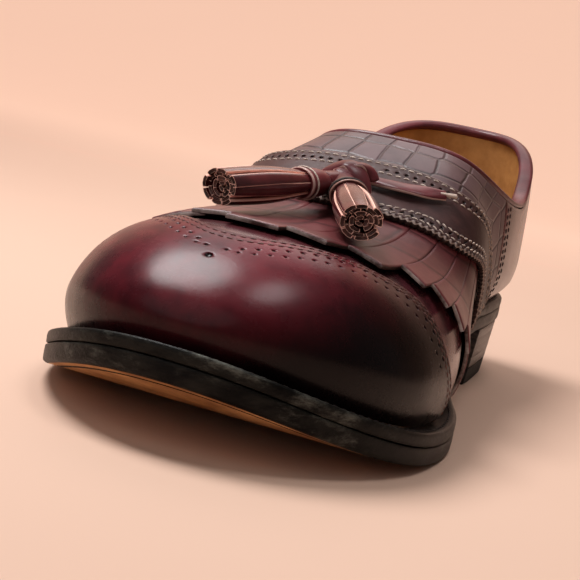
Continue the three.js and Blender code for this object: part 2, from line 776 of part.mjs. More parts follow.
function laceKnot() {
  const core = new THREE.SphereGeometry(KNOT_RADIUS, 12, 8);
  core.applyMatrix4(new THREE.Matrix4().makeScale(1, KNOT_DEPTH, KNOT_FLATNESS));
  const wrap = new THREE.TorusGeometry(WRAP_RADIUS, LACE_THICKNESS, 6, 12);
  wrap.applyMatrix4(new THREE.Matrix4().makeRotationY(QUARTER_TURN));
  wrap.applyMatrix4(new THREE.Matrix4().makeScale(WRAP_WIDTH, WRAP_DEPTH, KNOT_FLATNESS));
  const lumps = [core, wrap].map((geometry) => geometry.applyMatrix4(knotFrame));
  const necks = TASSELS.map((row) => {
    const direction = tasselEnd(row).sub(knotCentre).normalize();
    const neck = new THREE.CylinderGeometry(NECK_DIAMETER / 2, NECK_DIAMETER / 2, NECK_LENGTH, 10);
    neck.translate(0, NECK_LENGTH / 2, 0);
    return neck.applyMatrix4(towards(knotCentre, direction));
  });
  return joined([...lumps, ...necks]);
}

// The lace's free end lies on the strap from the knot towards the medial side
function laceTail() {
  const low = STRAP_TOP + GAP + FACET_ROOM;
  const along = steps(0, 1, LACE_STEPS).map((k) => {
    const frame = frameAt(mix(TAIL_FRONT, TAIL_BACK, k * k), mix(TAIL_START, TAIL_END, k), low);
    const origin = new THREE.Vector3().setFromMatrixPosition(frame);
    const up = new THREE.Vector3().setFromMatrixColumn(frame, 2);
    const heelward = new THREE.Vector3().setFromMatrixColumn(frame, 1);
    return { origin, up, heelward };
  });
  const edge = (lift) => along.map(({ origin, up, heelward }) => steps(-0.5, 0.5, 2)
    .map((k) => origin.clone().addScaledVector(heelward, k * LACE_WIDTH).addScaledVector(up, lift)));
  return wall(edge(LACE_THICKNESS), edge(0), false);
}

// A collar, a ring of thread and a bundle of strips. The first two columns below are the
// radius and the distance from the knot.
function tassel(end) {
  const direction = end.clone().sub(knotCentre).normalize();
  const start = knotCentre.clone().addScaledVector(direction, NECK_LENGTH + GAP);
  const collar = COLLAR_DIAMETER / 2;
  const heart = FRINGE_DIAMETER / 2 - STRIP_DEPTH / 2;
  const bottom = COLLAR_LENGTH + FRINGE_LENGTH - FRINGE_HOLLOW;
  const profile = [
    [0, 0],
    [NECK_DIAMETER / 2, 0],
    [collar, COLLAR_TAPER],
    [collar, COLLAR_LENGTH - THREAD_WIDTH],
    [THREAD_DIAMETER / 2, COLLAR_LENGTH - THREAD_WIDTH / 2],
    [THREAD_DIAMETER / 2, COLLAR_LENGTH],
    [collar, COLLAR_LENGTH + THREAD_WIDTH / 2],
    [heart, COLLAR_LENGTH + FRINGE_LENGTH / 2],
    [heart, bottom],
    [0, bottom],
  ].map(([x, y]) => new THREE.Vector2(x, y));
  const core = new THREE.LatheGeometry(profile, FRINGE_STRIPS);
  const width = (FRINGE_FILL * Math.PI * FRINGE_DIAMETER) / FRINGE_STRIPS;
  const strips = steps(0, 2 * Math.PI, FRINGE_STRIPS).slice(1).map((angle, i) => {
    const length = FRINGE_LENGTH - STRIP_STAGGER * ((i * 5) % 3);
    const strip = new THREE.BoxGeometry(STRIP_DEPTH, length, width, 1, 2, 1);
    strip.translate(0, length / 2, 0);
    bellyOut(strip, length);
    strip.rotateY(angle);
    return strip.translate(0, COLLAR_LENGTH, 0);
  });
  const place = towards(start, direction);
  return joined([core, ...strips].map((geometry) => geometry.applyMatrix4(place)));
}

// A strip leaves the thread narrow and bellies out to the fringe's full width
function bellyOut(strip, length) {
  const position = strip.attributes.position;
  for (let i = 0; i < position.count; i += 1) {
    const k = clamp(position.getY(i) / length, 0, 1);
    const radius = mix(COLLAR_DIAMETER, FRINGE_DIAMETER, Math.sin(k * QUARTER_TURN)) / 2;
    position.setX(i, position.getX(i) + radius - STRIP_DEPTH / 2);
    position.setZ(i, position.getZ(i) * mix(COLLAR_DIAMETER / FRINGE_DIAMETER, 1, k));
  }
}

const material = (color, roughness) => new THREE.MeshStandardMaterial({ color, roughness, metalness: 0 });
const looks = {
  vamp: material(0x4a1a22, 0.22),
  grained: material(0x4b3338, 0.4),
  smooth: material(0x46262c, 0.28),
  edge: material(0x1b1716, 0.5),
  stack: material(0x2a1c16, 0.5),
  rubber: material(0x151414, 0.8),
  sole: material(0xa0622f, 0.65),
  lining: material(0x9a6236, 0.7),
  lace: material(0x4a2426, 0.4),
};

const shoe = new THREE.Group();

function add(name, geometry, look) {
  const mesh = new THREE.Mesh(geometry, look);
  mesh.name = name;
  shoe.add(mesh);
}

add('outsole', outsole(), looks.sole);
add('welt', welt(), looks.edge);
add('insole', insole(), looks.lining);
add('heel_stack', heelStack(), looks.stack);
add('heel_top_lift', heelTopLift(), looks.rubber);
add('upper', upper(), looks.vamp);
add('topline_binding', toplineBinding(), looks.smooth);
add('heel_counter', heelCounter(), looks.smooth);
add('kiltie', kiltie(), looks.grained);
add('instep_band', instepBand(), looks.grained);
add('saddle_strap', saddleStrap(), looks.grained);
add('lace_knot', laceKnot(), looks.lace);
add('lace_tail', laceTail(), looks.lace);
for (const row of TASSELS) add(row.name, tassel(tasselEnd(row)), looks.lace);

// The origin is the middle of the floor under the shoe
const whole = new THREE.Box3().setFromObject(shoe, true);
shoe.position.set(-(whole.min.x + whole.max.x) / 2, -(whole.min.y + whole.max.y) / 2, -whole.min.z);

export default shoe;
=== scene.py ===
import math

import bpy
import numpy as np
from mathutils import Matrix


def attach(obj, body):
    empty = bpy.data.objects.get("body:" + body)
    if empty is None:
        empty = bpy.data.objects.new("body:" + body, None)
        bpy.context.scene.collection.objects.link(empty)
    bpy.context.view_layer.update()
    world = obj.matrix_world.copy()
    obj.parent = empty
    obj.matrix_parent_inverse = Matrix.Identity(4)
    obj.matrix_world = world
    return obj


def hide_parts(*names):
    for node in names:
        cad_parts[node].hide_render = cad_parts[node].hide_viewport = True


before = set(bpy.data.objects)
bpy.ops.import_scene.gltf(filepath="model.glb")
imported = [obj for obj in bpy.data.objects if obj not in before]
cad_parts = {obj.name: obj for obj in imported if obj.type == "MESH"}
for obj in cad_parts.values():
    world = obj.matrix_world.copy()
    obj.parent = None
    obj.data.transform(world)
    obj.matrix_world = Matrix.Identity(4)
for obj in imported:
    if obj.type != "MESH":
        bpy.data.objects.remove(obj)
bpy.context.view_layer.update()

# Sizes below are in millimetres, in the frame that the CAD's source is drawn in. SHIFT takes
# them to the row's frame.
MM = 0.001
SHIFT = np.array([1.8935, 0.7569, 0.0])

# Camera: the photograph's viewpoint, aimed at the one shoe
cam_data = bpy.data.cameras.new("camera")
cam_data.sensor_fit = "HORIZONTAL"
cam_data.sensor_width = 36.0
cam_data.lens = 97.06
cam_data.clip_start = 0.01
camera = bpy.data.objects.new("camera", cam_data)
bpy.context.scene.collection.objects.link(camera)
CAM_PLACE = (0.13680, -0.47901, 0.08916)
CAM_RIGHT = np.array([0.92222, 0.32285, 0.21279])
CAM_UP = np.array([-0.24106, 0.04978, 0.96923])
CAM_BACK = np.cross(CAM_RIGHT, CAM_UP)
camera.matrix_world = Matrix(
    [[*row, place] for row, place in zip(np.array([CAM_RIGHT, CAM_UP, CAM_BACK]).T, CAM_PLACE)] + [[0, 0, 0, 1]]
)
bpy.context.scene.camera = camera
bpy.context.scene.view_settings.view_transform = "Standard"

# The last, as in the CAD's source
LENGTH, BALL_WIDTH, INSTEP_HEIGHT = 282.0, 102.0, 64.0
TOE_SPRING, TOE_SPRING_CURVE, HEEL_HEIGHT = 15.0, 2.2, 21.0
COLLAR_SIDE, COLLAR_BACK, BACK_LEAN, LEAN_FRONT = 35.5, 57.0, 5.0, 0.78
BULGE, BULGE_HEIGHT, BULGE_TURN, TOPLINE_LOW = 3.0, 15.0, 1.1, 0.5
GAP, FACET_ROOM, WALL, SEAM_STEP = 0.3, 0.2, 2.2, 1.1
OUTSOLE, WELT, LEDGE, SEAT, HEEL_TAPER = 5.0, 4.0, 5.5, 3.5, 2.0
KILTIE_THICKNESS, KILTIE_LIFT, STRAP_THICKNESS, BAND_THICKNESS = 1.3, 0.6, 1.5, 1.3
FLAT_FRONT, FLAT_BACK, SEAT_FRONT, HEEL_BREAST = 0.30, 0.40, 0.72, 0.74
THROAT, COUNTER_FRONT = 0.56, 0.68
TOE_ZONE, TOE_ROUND, RIDGE_ZONE, RIDGE_ROUND = 0.20, 2.2, 0.18, 2.15
HEEL_ZONE, HEEL_ROUND = 0.13, 2.2
SEAM_FOOT, LEAF_FOOT, KILTIE_TUCK = 0.95, 0.985, 0.42
SOLE_TOP = OUTSOLE + WELT
FEATHER = SOLE_TOP + GAP
QUARTER = math.pi / 2

# The attributes rim and hole give a distance from the next cut edge or hole. FAR is out of their reach.
FAR = 9.0

# Millimetres of leather to one unit of UV
UV_LENGTH = 100
CELL_WOBBLE, CELL_RANDOMNESS = 0.13, 0.16

# at, lateral, medial, ridge, lean, round, bulge, ledge
SECTIONS = np.array([
    [0.0, 0.380, 0.405, 0.43, 0.00, 2.30, 1.0, 1.00],
    [0.1, 0.425, 0.452, 0.60, 0.00, 2.35, 1.0, 1.00],
    [0.2, 0.492, 0.487, 0.645, 0.01, 2.45, 1.0, 1.00],
    [0.3, 0.528, 0.482, 0.68, 0.02, 2.70, 1.0, 1.00],
    [0.4, 0.480, 0.425, 0.752, 0.03, 2.80, 1.1, 0.85],
    [0.5, 0.428, 0.345, 0.91, 0.03, 3.25, 1.3, 0.60],
    [0.6, 0.365, 0.300, 0.97, 0.03, 2.75, 1.5, 0.50],
    [0.7, 0.345, 0.300, 1.16, 0.02, 2.50, 1.6, 0.42],
    [0.8, 0.335, 0.292, 1.32, 0.01, 2.60, 1.5, 0.40],
    [0.9, 0.325, 0.270, 1.46, 0.00, 2.70, 1.2, 0.40],
    [1.0, 0.300, 0.260, 1.52, 0.00, 2.70, 1.0, 0.40],
])

# turn, seam, front and back of the strap
CROSSINGS = np.array([
    [-1.00, 0.290, 0.560, 0.640],
    [-0.70, 0.243, 0.485, 0.572],
    [-0.45, 0.222, 0.424, 0.510],
    [-0.20, 0.138, 0.396, 0.488],
    [0.00, 0.103, 0.385, 0.487],
    [0.20, 0.138, 0.396, 0.488],
    [0.45, 0.222, 0.424, 0.510],
    [0.70, 0.243, 0.485, 0.572],
    [1.00, 0.290, 0.560, 0.640],
])

# The kiltie's strips: edges as turns, end, and how much the end curls up more than the rest
STRIPS = [
    (-0.99, -0.82, 0.400, 0.0), (-0.82, -0.70, 0.345, 0.1), (-0.70, -0.576, 0.300, 0.2),
    (-0.576, -0.46, 0.273, 0.1), (-0.46, -0.336, 0.250, 0.3), (-0.336, -0.20, 0.200, 0.0),
    (-0.20, -0.068, 0.154, 0.4), (-0.068, 0.068, 0.138, 0.2), (0.068, 0.20, 0.154, 0.5),
    (0.20, 0.336, 0.200, 0.6), (0.336, 0.46, 0.250, 1.0), (0.46, 0.576, 0.273, 1.2),
    (0.576, 0.70, 0.300, 1.0), (0.70, 0.82, 0.345, 0.6), (0.82, 0.99, 0.400, 0.3),
]


def spline(x, y):
    n = len(x)
    h = np.diff(x)
    a = np.eye(n)
    b = np.zeros(n)
    for i in range(1, n - 1):
        a[i, i - 1:i + 2] = h[i - 1], 2 * (h[i - 1] + h[i]), h[i]
        b[i] = 6 * ((y[i + 1] - y[i]) / h[i] - (y[i] - y[i - 1]) / h[i - 1])
    bend = np.linalg.solve(a, b)

    def value(t):
        i = np.clip(np.searchsorted(x, t, side="right") - 1, 0, n - 2)
        d = t - x[i]
        slope = (y[i + 1] - y[i]) / h[i] - h[i] * (2 * bend[i] + bend[i + 1]) / 6
        return y[i] + d * slope + d * d * bend[i] / 2 + d ** 3 * (bend[i + 1] - bend[i]) / (6 * h[i])

    return value


names = ["lateral", "medial", "ridge", "lean", "round", "bulge", "ledge"]
last = {name: spline(SECTIONS[:, 0], SECTIONS[:, i + 1]) for i, name in enumerate(names)}
seam, strap_front, strap_back = (spline(CROSSINGS[:, 0], CROSSINGS[:, i]) for i in (1, 2, 3))


def smooth(t):
    k = np.clip(t, 0, 1)
    return k * k * (3 - 2 * k)


def mix(a, b, k):
    return a + (b - a) * k


def unit(v):
    return v / np.maximum(np.linalg.norm(v, axis=-1, keepdims=True), 1e-9)


def round_end(distance, zone, power):
    k = np.clip(1 - distance / zone, 0, 1)
    return (1 - k ** power) ** (1 / power)


def clearance(s):
    toe = TOE_SPRING * np.clip((FLAT_FRONT - s) / FLAT_FRONT, 0, 1.2) ** TOE_SPRING_CURVE
    return toe + HEEL_HEIGHT * smooth((s - FLAT_BACK) / (SEAT_FRONT - FLAT_BACK))


def ridge_height(s):
    return INSTEP_HEIGHT * last["ridge"](s) * round_end(s, RIDGE_ZONE, RIDGE_ROUND)


def half_width(s, side):
    share = np.where(side < 0, last["lateral"](s), last["medial"](s))
    return BALL_WIDTH * share * round_end(s, TOE_ZONE, TOE_ROUND) * round_end(1 - s, HEEL_ZONE, HEEL_ROUND)


def skin(s, turn):
    """The upper's outside. turn runs from -1, lateral feather line, over the ridge, 0, to 1."""
    s, turn = np.broadcast_arrays(np.clip(s, 0.0, 1.0), turn)
    power = 2 / last["round"](s)
    side = np.where(turn < 0, -1.0, 1.0)
    across = np.abs(np.sin(turn * QUARTER)) ** power
    up = np.abs(np.cos(turn * QUARTER)) ** power
    rise = ridge_height(s) * up
    front = np.clip(1 - s / TOE_ZONE, 0, 1) ** BULGE_TURN
    back = np.clip(1 - (1 - s) / HEEL_ZONE, 0, 1) ** BULGE_TURN
    flank = np.sqrt(np.maximum(0, 1 - front ** 2 - back ** 2))
    swell = BULGE * last["bulge"](s) * (1 - (1 - np.clip(rise / BULGE_HEIGHT, 0, 1)) ** 2)
    lean = BACK_LEAN * smooth((s - LEAN_FRONT) / (1 - LEAN_FRONT)) * smooth(rise / COLLAR_BACK)
    return np.stack([
        side * across * (half_width(s, side) + swell * flank) + last["lean"](s) * BALL_WIDTH * up * up,
        LENGTH * (s - 0.5) + swell * (back - front) - lean,
        FEATHER + clearance(s) + rise,
    ], -1)


def outward(s, turn):
    step = 1e-3
    s, turn = np.broadcast_arrays(np.clip(s, 2 * step, 1 - 2 * step), np.clip(turn, 4 * step - 1, 1 - 4 * step))
    along = skin(s + step, turn) - skin(s - step, turn)
    across = skin(s, turn + step) - skin(s, turn - step)
    return unit(np.cross(across, along))


def above(s, turn, offset):
    return skin(s, turn) + outward(s, turn) * np.asarray(offset)[..., None]


def topline_height(s):
    along = (s - THROAT) / (1 - THROAT)
    seat = FEATHER + HEEL_HEIGHT
    front = FEATHER + clearance(THROAT) + ridge_height(THROAT) - seat
    drop = (front - COLLAR_SIDE) * np.clip(1 - along / TOPLINE_LOW, 0, None) ** 2
    rise = (COLLAR_BACK - COLLAR_SIDE) * smooth((along - TOPLINE_LOW) / (1 - TOPLINE_LOW))
    return seat + COLLAR_SIDE + drop + rise


def topline_turn(s):
    share = np.clip((topline_height(s) - FEATHER - clearance(s)) / ridge_height(s), 0, 1)
    return 1 - np.arcsin(share ** (last["round"](s) / 2)) / QUARTER


TOP_S = np.linspace(THROAT, mix(THROAT, 1, TOPLINE_LOW), 400)
TOP_T = np.maximum.accumulate(topline_turn(TOP_S))


def topline_place(turn):
    return np.interp(np.abs(turn), TOP_T, TOP_S)


def outline_point(s, side, grow):
    step = 1e-4
    c = np.clip(s, step, 1 - step)
    slope = (half_width(c + step, side) - half_width(c - step, side)) / (2 * step)
    length = np.hypot(LENGTH, slope)
    return np.stack([side * (half_width(s, side) + LENGTH / length * grow),
                     LENGTH * (s - 0.5) - slope / length * grow, 0 * s], -1)


def reach(points):
    """Lengths along a line of points, from its start."""
    steps = np.linalg.norm(np.diff(points, axis=-2), axis=-1)
    return np.concatenate([np.zeros(steps.shape[:-1] + (1,)), np.cumsum(steps, -1)], -1)


def even(points, values, count, crowding=1.0):
    """values at count + 1 places that cut the line of points into equal lengths."""
    r = reach(points)
    return np.interp(r[-1] * np.linspace(0, 1, count + 1) ** crowding, r, values)


def from_plan(x, y, side):
    s = np.clip(y / LENGTH + 0.5, 0, 1)
    width = half_width(s, side)
    share = np.clip(np.abs(x) / np.maximum(width, 1e-9), 0, 1)
    return s, side * (1 - np.arccos(share ** (last["round"](s) / 2)) / QUARTER)


def plan_of(s, turn, side):
    share = np.abs(np.sin(turn * QUARTER)) ** (2 / last["round"](s))
    return side * half_width(s, side) * share, LENGTH * (s - 0.5)


# Meshes

class Form:
    """Grids of points collected into one mesh."""

    def __init__(self):
        self.points, self.quads, self.slots, self.uvs, self.rims, self.holes = [], [], [], [], [], []
        self.count = 0

    def grid(self, p, slot=0, uv=None, rim=None, hole=None, loop=False, ring=False, flip=False):
        n, m = p.shape[:2]
        ids = self.count + np.arange(n * m).reshape(n, m)
        if loop:
            ids = np.vstack([ids, ids[:1]])
        if ring:
            ids = np.hstack([ids, ids[:, :1]])
        quads = np.stack([ids[:-1, :-1], ids[1:, :-1], ids[1:, 1:], ids[:-1, 1:]], -1).reshape(-1, 4)
        self.quads.append(quads[:, ::-1] if flip else quads)
        self.slots.append(np.full(len(quads), slot))
        self.points.append(p.reshape(-1, 3))

        def flat(a, k, fill):
            if a is None:
                return np.full((n * m, k), fill)
            return np.broadcast_to(a, (n, m, k) if k > 1 else (n, m)).reshape(-1, k)

        self.uvs.append(flat(uv, 2, 0.0))
        self.rims.append(flat(rim, 1, FAR))
        self.holes.append(flat(hole, 1, FAR))
        self.count += n * m
        return self

    def piece(self, name, materials, slot, *replaced):
        points = (np.concatenate(self.points) + SHIFT) * MM
        quads = np.concatenate(self.quads)
        mesh = bpy.data.meshes.new(name)
        mesh.from_pydata(points.tolist(), [], quads.tolist())
        mesh.polygons.foreach_set("material_index", np.concatenate(self.slots))
        mesh.polygons.foreach_set("use_smooth", np.ones(len(quads), bool))
        corner = quads.reshape(-1)
        uv = mesh.uv_layers.new(name="UVMap")
        uv.data.foreach_set("uv", (np.concatenate(self.uvs)[corner] / UV_LENGTH).astype(np.float32).reshape(-1))
        for key, values in (("rim", self.rims), ("hole", self.holes)):
            attribute = mesh.attributes.new(key, "FLOAT", "POINT")
            attribute.data.foreach_set("value", np.concatenate(values).reshape(-1).astype(np.float32))
        for material in materials:
            mesh.materials.append(material)
        mesh.update()
        obj = bpy.data.objects.new(name, mesh)
        bpy.context.scene.collection.objects.link(obj)
        if replaced:
            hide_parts(*replaced)
        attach(obj, "root")
        return obj


def grid_normals(p, loop=False):
    along = np.gradient(p, axis=0)
    if loop:
        along = np.roll(p, -1, 0) - np.roll(p, 1, 0)
    return unit(np.cross(np.gradient(p, axis=1), along))


def edge_strip(form, top, low, slot, bulge, flip=False):
    """A rounded cut edge between two lines of points; bulge points away from the leather."""
    rows = []
    for k, b in ((0, 0), (0.12, 0.5), (0.35, 0.95), (0.65, 1.0), (0.88, 0.6), (1, 0)):
        rows.append(mix(top, low, k) + bulge * b)
    form.grid(np.stack(rows, 1), slot=slot, flip=flip, rim=0.0)


def stitches(form, p, n, pitch, length, width, height, slot, start=0.0):
    """Short threads along a line of points p with surface normals n."""
    r = reach(p)
    centres = np.arange(start + pitch / 2, r[-1] - pitch / 2, pitch)
    at = lambda a, d: np.stack([np.interp(d, r, a[:, i]) for i in range(3)], -1)
    tangent = unit(at(p, centres + 0.4) - at(p, centres - 0.4))
    normal = unit(at(n, centres))
    across = np.cross(tangent, normal)
    middle = at(p, centres)
    t = np.array([-1, -0.8, -0.35, 0.35, 0.8, 1.0])
    size = np.sqrt(np.maximum(1 - np.abs(t) ** 3, 0.02))
    a = np.linspace(0, 2 * np.pi, 7)[:-1]
    for c, tg, nm, ac in zip(middle, tangent, normal, across):
        ring = (ac[None] * np.cos(a)[:, None] * width / 2 + nm[None] * np.sin(a)[:, None] * height / 2)
        lift = nm * (height * 0.18)
        p3 = c + lift + t[:, None, None] * tg * length / 2 + size[:, None, None] * ring[None]
        p3 -= nm * (np.abs(t) ** 3 * height * 0.35)[:, None, None]
        form.grid(p3, slot=slot, ring=True, rim=0.0)


def nearest(p, centres):
    """Distance of each point from the nearest centre, at most FAR."""
    flat = p.reshape(-1, 3)
    out = np.full(len(flat), FAR)
    for i in range(0, len(flat), 4000):
        block = flat[i:i + 4000]
        out[i:i + 4000] = np.minimum(FAR, np.sqrt(((block[:, None] - centres[None]) ** 2).sum(-1).min(1)))
    return out.reshape(p.shape[:-1])


# Materials

def nodes_of(name):
    material = bpy.data.materials.new(name)
    material.use_nodes = True
    tree = material.node_tree
    return material, tree, tree.nodes["Principled BSDF"]


def node(tree, kind, **values):
    n = tree.nodes.new(kind)
    for key, value in values.items():
        if key in n.inputs.keys():
            n.inputs[key].default_value = value
        else:
            setattr(n, key, value)
    return n


def math_node(tree, operation, a, b):
    n = tree.nodes.new("ShaderNodeMath")
    n.operation = operation
    for i, value in enumerate((a, b)):
        if isinstance(value, (int, float)):
            n.inputs[i].default_value = value
        else:
            tree.links.new(value, n.inputs[i])
    return n.outputs[0]


def weighted(tree, a, share_a, b, share_b):
    """The sum of two values, each times its share."""
    return math_node(tree, "ADD", math_node(tree, "MULTIPLY", a, share_a), math_node(tree, "MULTIPLY", b, share_b))


def mix_colour(tree, factor, a, b):
    n = tree.nodes.new("ShaderNodeMix")
    n.data_type = "RGBA"
    for socket, value in ((n.inputs[0], factor), (n.inputs[6], a), (n.inputs[7], b)):
        if isinstance(value, (int, float)):
            socket.default_value = value
        elif isinstance(value, tuple):
            socket.default_value = (*value, 1)
        else:
            tree.links.new(value, socket)
    return n.outputs[2]


def attribute(tree, name):
    n = tree.nodes.new("ShaderNodeAttribute")
    n.attribute_name = name
    return n.outputs["Fac"]


def noise(tree, vector, scale, detail=4.0, roughness=0.55):
    n = node(tree, "ShaderNodeTexNoise", Scale=scale, Detail=detail, Roughness=roughness)
    tree.links.new(vector, n.inputs["Vector"])
    return n.outputs["Fac"]


def bump(tree, height, strength, distance, normal=None):
    n = node(tree, "ShaderNodeBump", Strength=strength, Distance=distance)
    tree.links.new(height, n.inputs["Height"])
    if normal is not None:
        tree.links.new(normal, n.inputs["Normal"])
    return n.outputs["Normal"]


def band(tree, value, low, high):
    """0 below low, 1 above high."""
    n = node(tree, "ShaderNodeMapRange")
    n.interpolation_type = "SMOOTHSTEP"
    n.inputs["From Min"].default_value = low
    n.inputs["From Max"].default_value = high
    tree.links.new(value, n.inputs["Value"])
    return n.outputs["Result"]


def leather(name, colour, dark, rough, coat, grain=900.0, grain_depth=0.00006, scales=None,
            edge_dark=0.0, painted_shade_low=None, gloss=0.4, pale_edge_and_highlight=None):
    """Leather with mottled colour, fine grain and punched holes painted dark inside as painted shade. scales (size
    across, size along, in millimetres, and depth) adds an embossed grid of cells, painted_shade_low (low, high, shade)
    a painted shade below a height in metres, and pale_edge_and_highlight (shade, low, high) a paler colour at
    cut edges, which on the tassel strips is a painted highlight."""
    material, tree, shader = nodes_of(name)
    coordinates = tree.nodes.new("ShaderNodeTexCoord")
    place = coordinates.outputs["Object"]
    cloud = noise(tree, place, 28.0, 5.0)
    mottle = weighted(tree, cloud, 0.75, noise(tree, place, 220.0, 4.0), 0.25)
    base = mix_colour(tree, band(tree, mottle, 0.36, 0.64), dark, colour)
    # painted shade: the colour darkens to near black below a height
    if painted_shade_low is not None:
        low, high, shade = painted_shade_low
        axes = tree.nodes.new("ShaderNodeSeparateXYZ")
        tree.links.new(place, axes.inputs[0])
        wavy = math_node(tree, "ADD", axes.outputs[2], math_node(tree, "MULTIPLY", cloud, 0.012))
        # the painted shade climbs higher on the medial side
        medial = math_node(tree, "MAXIMUM", axes.outputs[0], 0.0)
        wavy = math_node(tree, "SUBTRACT", wavy, math_node(tree, "MULTIPLY", medial, 0.32))
        base = mix_colour(tree, band(tree, wavy, low, high), shade, base)
    rim = attribute(tree, "rim")
    if edge_dark:
        base = mix_colour(tree, band(tree, rim, 0.2, 2.2), tuple(c * (1 - edge_dark) for c in dark), base)
    # paler cut edges; on the tassel strips this colour is a painted highlight along the edges
    if pale_edge_and_highlight is not None:
        shade, low, high = pale_edge_and_highlight
        base = mix_colour(tree, band(tree, rim, low, high), shade, base)
    # The punched holes are painted near black inside: painted shade.
    hole = attribute(tree, "hole")
    base = mix_colour(tree, band(tree, hole, -0.12, 0.10), (0.004, 0.002, 0.002), base)
    normal = None
    if scales is not None:
        wide, long, depth = scales
        uv = node(tree, "ShaderNodeUVMap", uv_map="UVMap")
        mapping = node(tree, "ShaderNodeMapping")
        mapping.inputs["Scale"].default_value = (UV_LENGTH / wide, UV_LENGTH / long, 1)
        tree.links.new(uv.outputs[0], mapping.inputs["Vector"])
        wobble = node(tree, "ShaderNodeTexNoise", Scale=1.3, Detail=2.0)
        tree.links.new(mapping.outputs[0], wobble.inputs["Vector"])
        shift = tree.nodes.new("ShaderNodeVectorMath")
        shift.operation = "MULTIPLY_ADD"
        tree.links.new(wobble.outputs["Color"], shift.inputs[0])
        shift.inputs[1].default_value = (CELL_WOBBLE, CELL_WOBBLE, 0)
        tree.links.new(mapping.outputs[0], shift.inputs[2])
        cells = node(tree, "ShaderNodeTexVoronoi", Scale=1.0, Randomness=CELL_RANDOMNESS)
        cells.voronoi_dimensions = "2D"
        cells.feature = "DISTANCE_TO_EDGE"
        tree.links.new(shift.outputs[0], cells.inputs["Vector"])
        crease = band(tree, cells.outputs["Distance"], 0.0, 0.09)
        base = mix_colour(tree, crease, tuple(c * 0.35 for c in dark), base)
        tint = node(tree, "ShaderNodeTexVoronoi", Scale=1.0, Randomness=CELL_RANDOMNESS)
        tint.voronoi_dimensions = "2D"
        tree.links.new(shift.outputs[0], tint.inputs["Vector"])
        grey = tree.nodes.new("ShaderNodeSeparateColor")
        tree.links.new(tint.outputs["Color"], grey.inputs[0])
        pale = tuple(min(1, c * 1.7) for c in colour)
        base = mix_colour(tree, math_node(tree, "MULTIPLY", grey.outputs[0], 0.45), base, pale)
        normal = bump(tree, crease, 1.0, depth * MM)
    grains = noise(tree, place, grain, 3.0, 0.6)
    normal = bump(tree, grains, 0.6, grain_depth, normal)
    normal = bump(tree, noise(tree, place, 60.0, 2.0), 0.5, 0.00025, normal)
    normal = bump(tree, band(tree, hole, -0.5, 0.25), 1.0, 0.0005, normal)
    tree.links.new(base, shader.inputs["Base Color"])
    tree.links.new(normal, shader.inputs["Normal"])
    worn = math_node(tree, "ADD", math_node(tree, "MULTIPLY", noise(tree, place, 75.0, 6.0, 0.7), 0.22), rough - 0.11)
    tree.links.new(worn, shader.inputs["Roughness"])
    shader.inputs["Coat Weight"].default_value = coat
    shader.inputs["Coat Roughness"].default_value = 0.20
    shader.inputs["Specular IOR Level"].default_value = gloss
    return material


def plain(name, colour, dark, rough, scale=120.0, depth=0.0001, coat=0.0, stretch=(1, 1, 1), scuff_and_sheen=None,
          gloss=0.18):
    """A cloudy, slightly rough material. scuff_and_sheen is the colour of rubbed spots together with a painted
    reflection, more on the lateral side.
    """
    material, tree, shader = nodes_of(name)
    coordinates = tree.nodes.new("ShaderNodeTexCoord")
    mapping = node(tree, "ShaderNodeMapping")
    mapping.inputs["Scale"].default_value = stretch
    tree.links.new(coordinates.outputs["Object"], mapping.inputs["Vector"])
    place = mapping.outputs[0]
    cloud = noise(tree, place, scale, 6.0, 0.65)
    base = mix_colour(tree, band(tree, cloud, 0.35, 0.65), dark, colour)
    if scuff_and_sheen is not None:
        wide_cloud = math_node(tree, "MULTIPLY", noise(tree, place, 9.0, 2.0), 0.5)
        spot = math_node(tree, "ADD", noise(tree, place, 46.0, 8.0, 0.75), wide_cloud)
        axes = tree.nodes.new("ShaderNodeSeparateXYZ")
        tree.links.new(coordinates.outputs["Object"], axes.inputs[0])
        # the pale spots gather on the lateral side, where they also paint a reflection
        spot = math_node(tree, "SUBTRACT", spot, math_node(tree, "MULTIPLY", axes.outputs[0], 1.6))
        base = mix_colour(tree, band(tree, spot, 0.74, 1.02), base, scuff_and_sheen)
    tree.links.new(base, shader.inputs["Base Color"])
    tree.links.new(bump(tree, noise(tree, place, scale * 6, 4.0, 0.7), 0.7, depth), shader.inputs["Normal"])
    worn = math_node(tree, "ADD", math_node(tree, "MULTIPLY", cloud, 0.3), rough - 0.15)
    tree.links.new(worn, shader.inputs["Roughness"])
    shader.inputs["Coat Weight"].default_value = coat
    shader.inputs["Specular IOR Level"].default_value = gloss
    return material


# The vamp's colour darkens to near black low down and on the medial side: painted shade.
vamp_leather = leather("polished_calf", (0.150, 0.011, 0.020), (0.056, 0.005, 0.010), 0.28, 0.08, edge_dark=0.3,
                       painted_shade_low=(0.022, 0.060, (0.0030, 0.0008, 0.0012)), gloss=0.10)
scale_leather = leather("scale_embossed", (0.108, 0.024, 0.025), (0.052, 0.012, 0.014), 0.38, 0.06,
                        scales=(21.0, 27.0, 0.08), gloss=0.20)
band_leather = leather("scale_embossed_fine", (0.092, 0.052, 0.056), (0.048, 0.027, 0.031), 0.36, 0.06,
                       scales=(9.5, 12.0, 0.26), gloss=0.20)
strap_leather = leather("strap_leather", (0.062, 0.025, 0.023), (0.026, 0.011, 0.011), 0.42, 0.0, grain=420.0,
                        grain_depth=0.00018, gloss=0.16, pale_edge_and_highlight=((0.30, 0.22, 0.19), 0.05, 0.8))
counter_leather = leather("counter_calf", (0.100, 0.020, 0.025), (0.040, 0.009, 0.012), 0.26, 0.20, gloss=0.26)
binding_leather = leather("binding_leather", (0.135, 0.025, 0.030), (0.064, 0.013, 0.016), 0.34, 0.08, gloss=0.20)
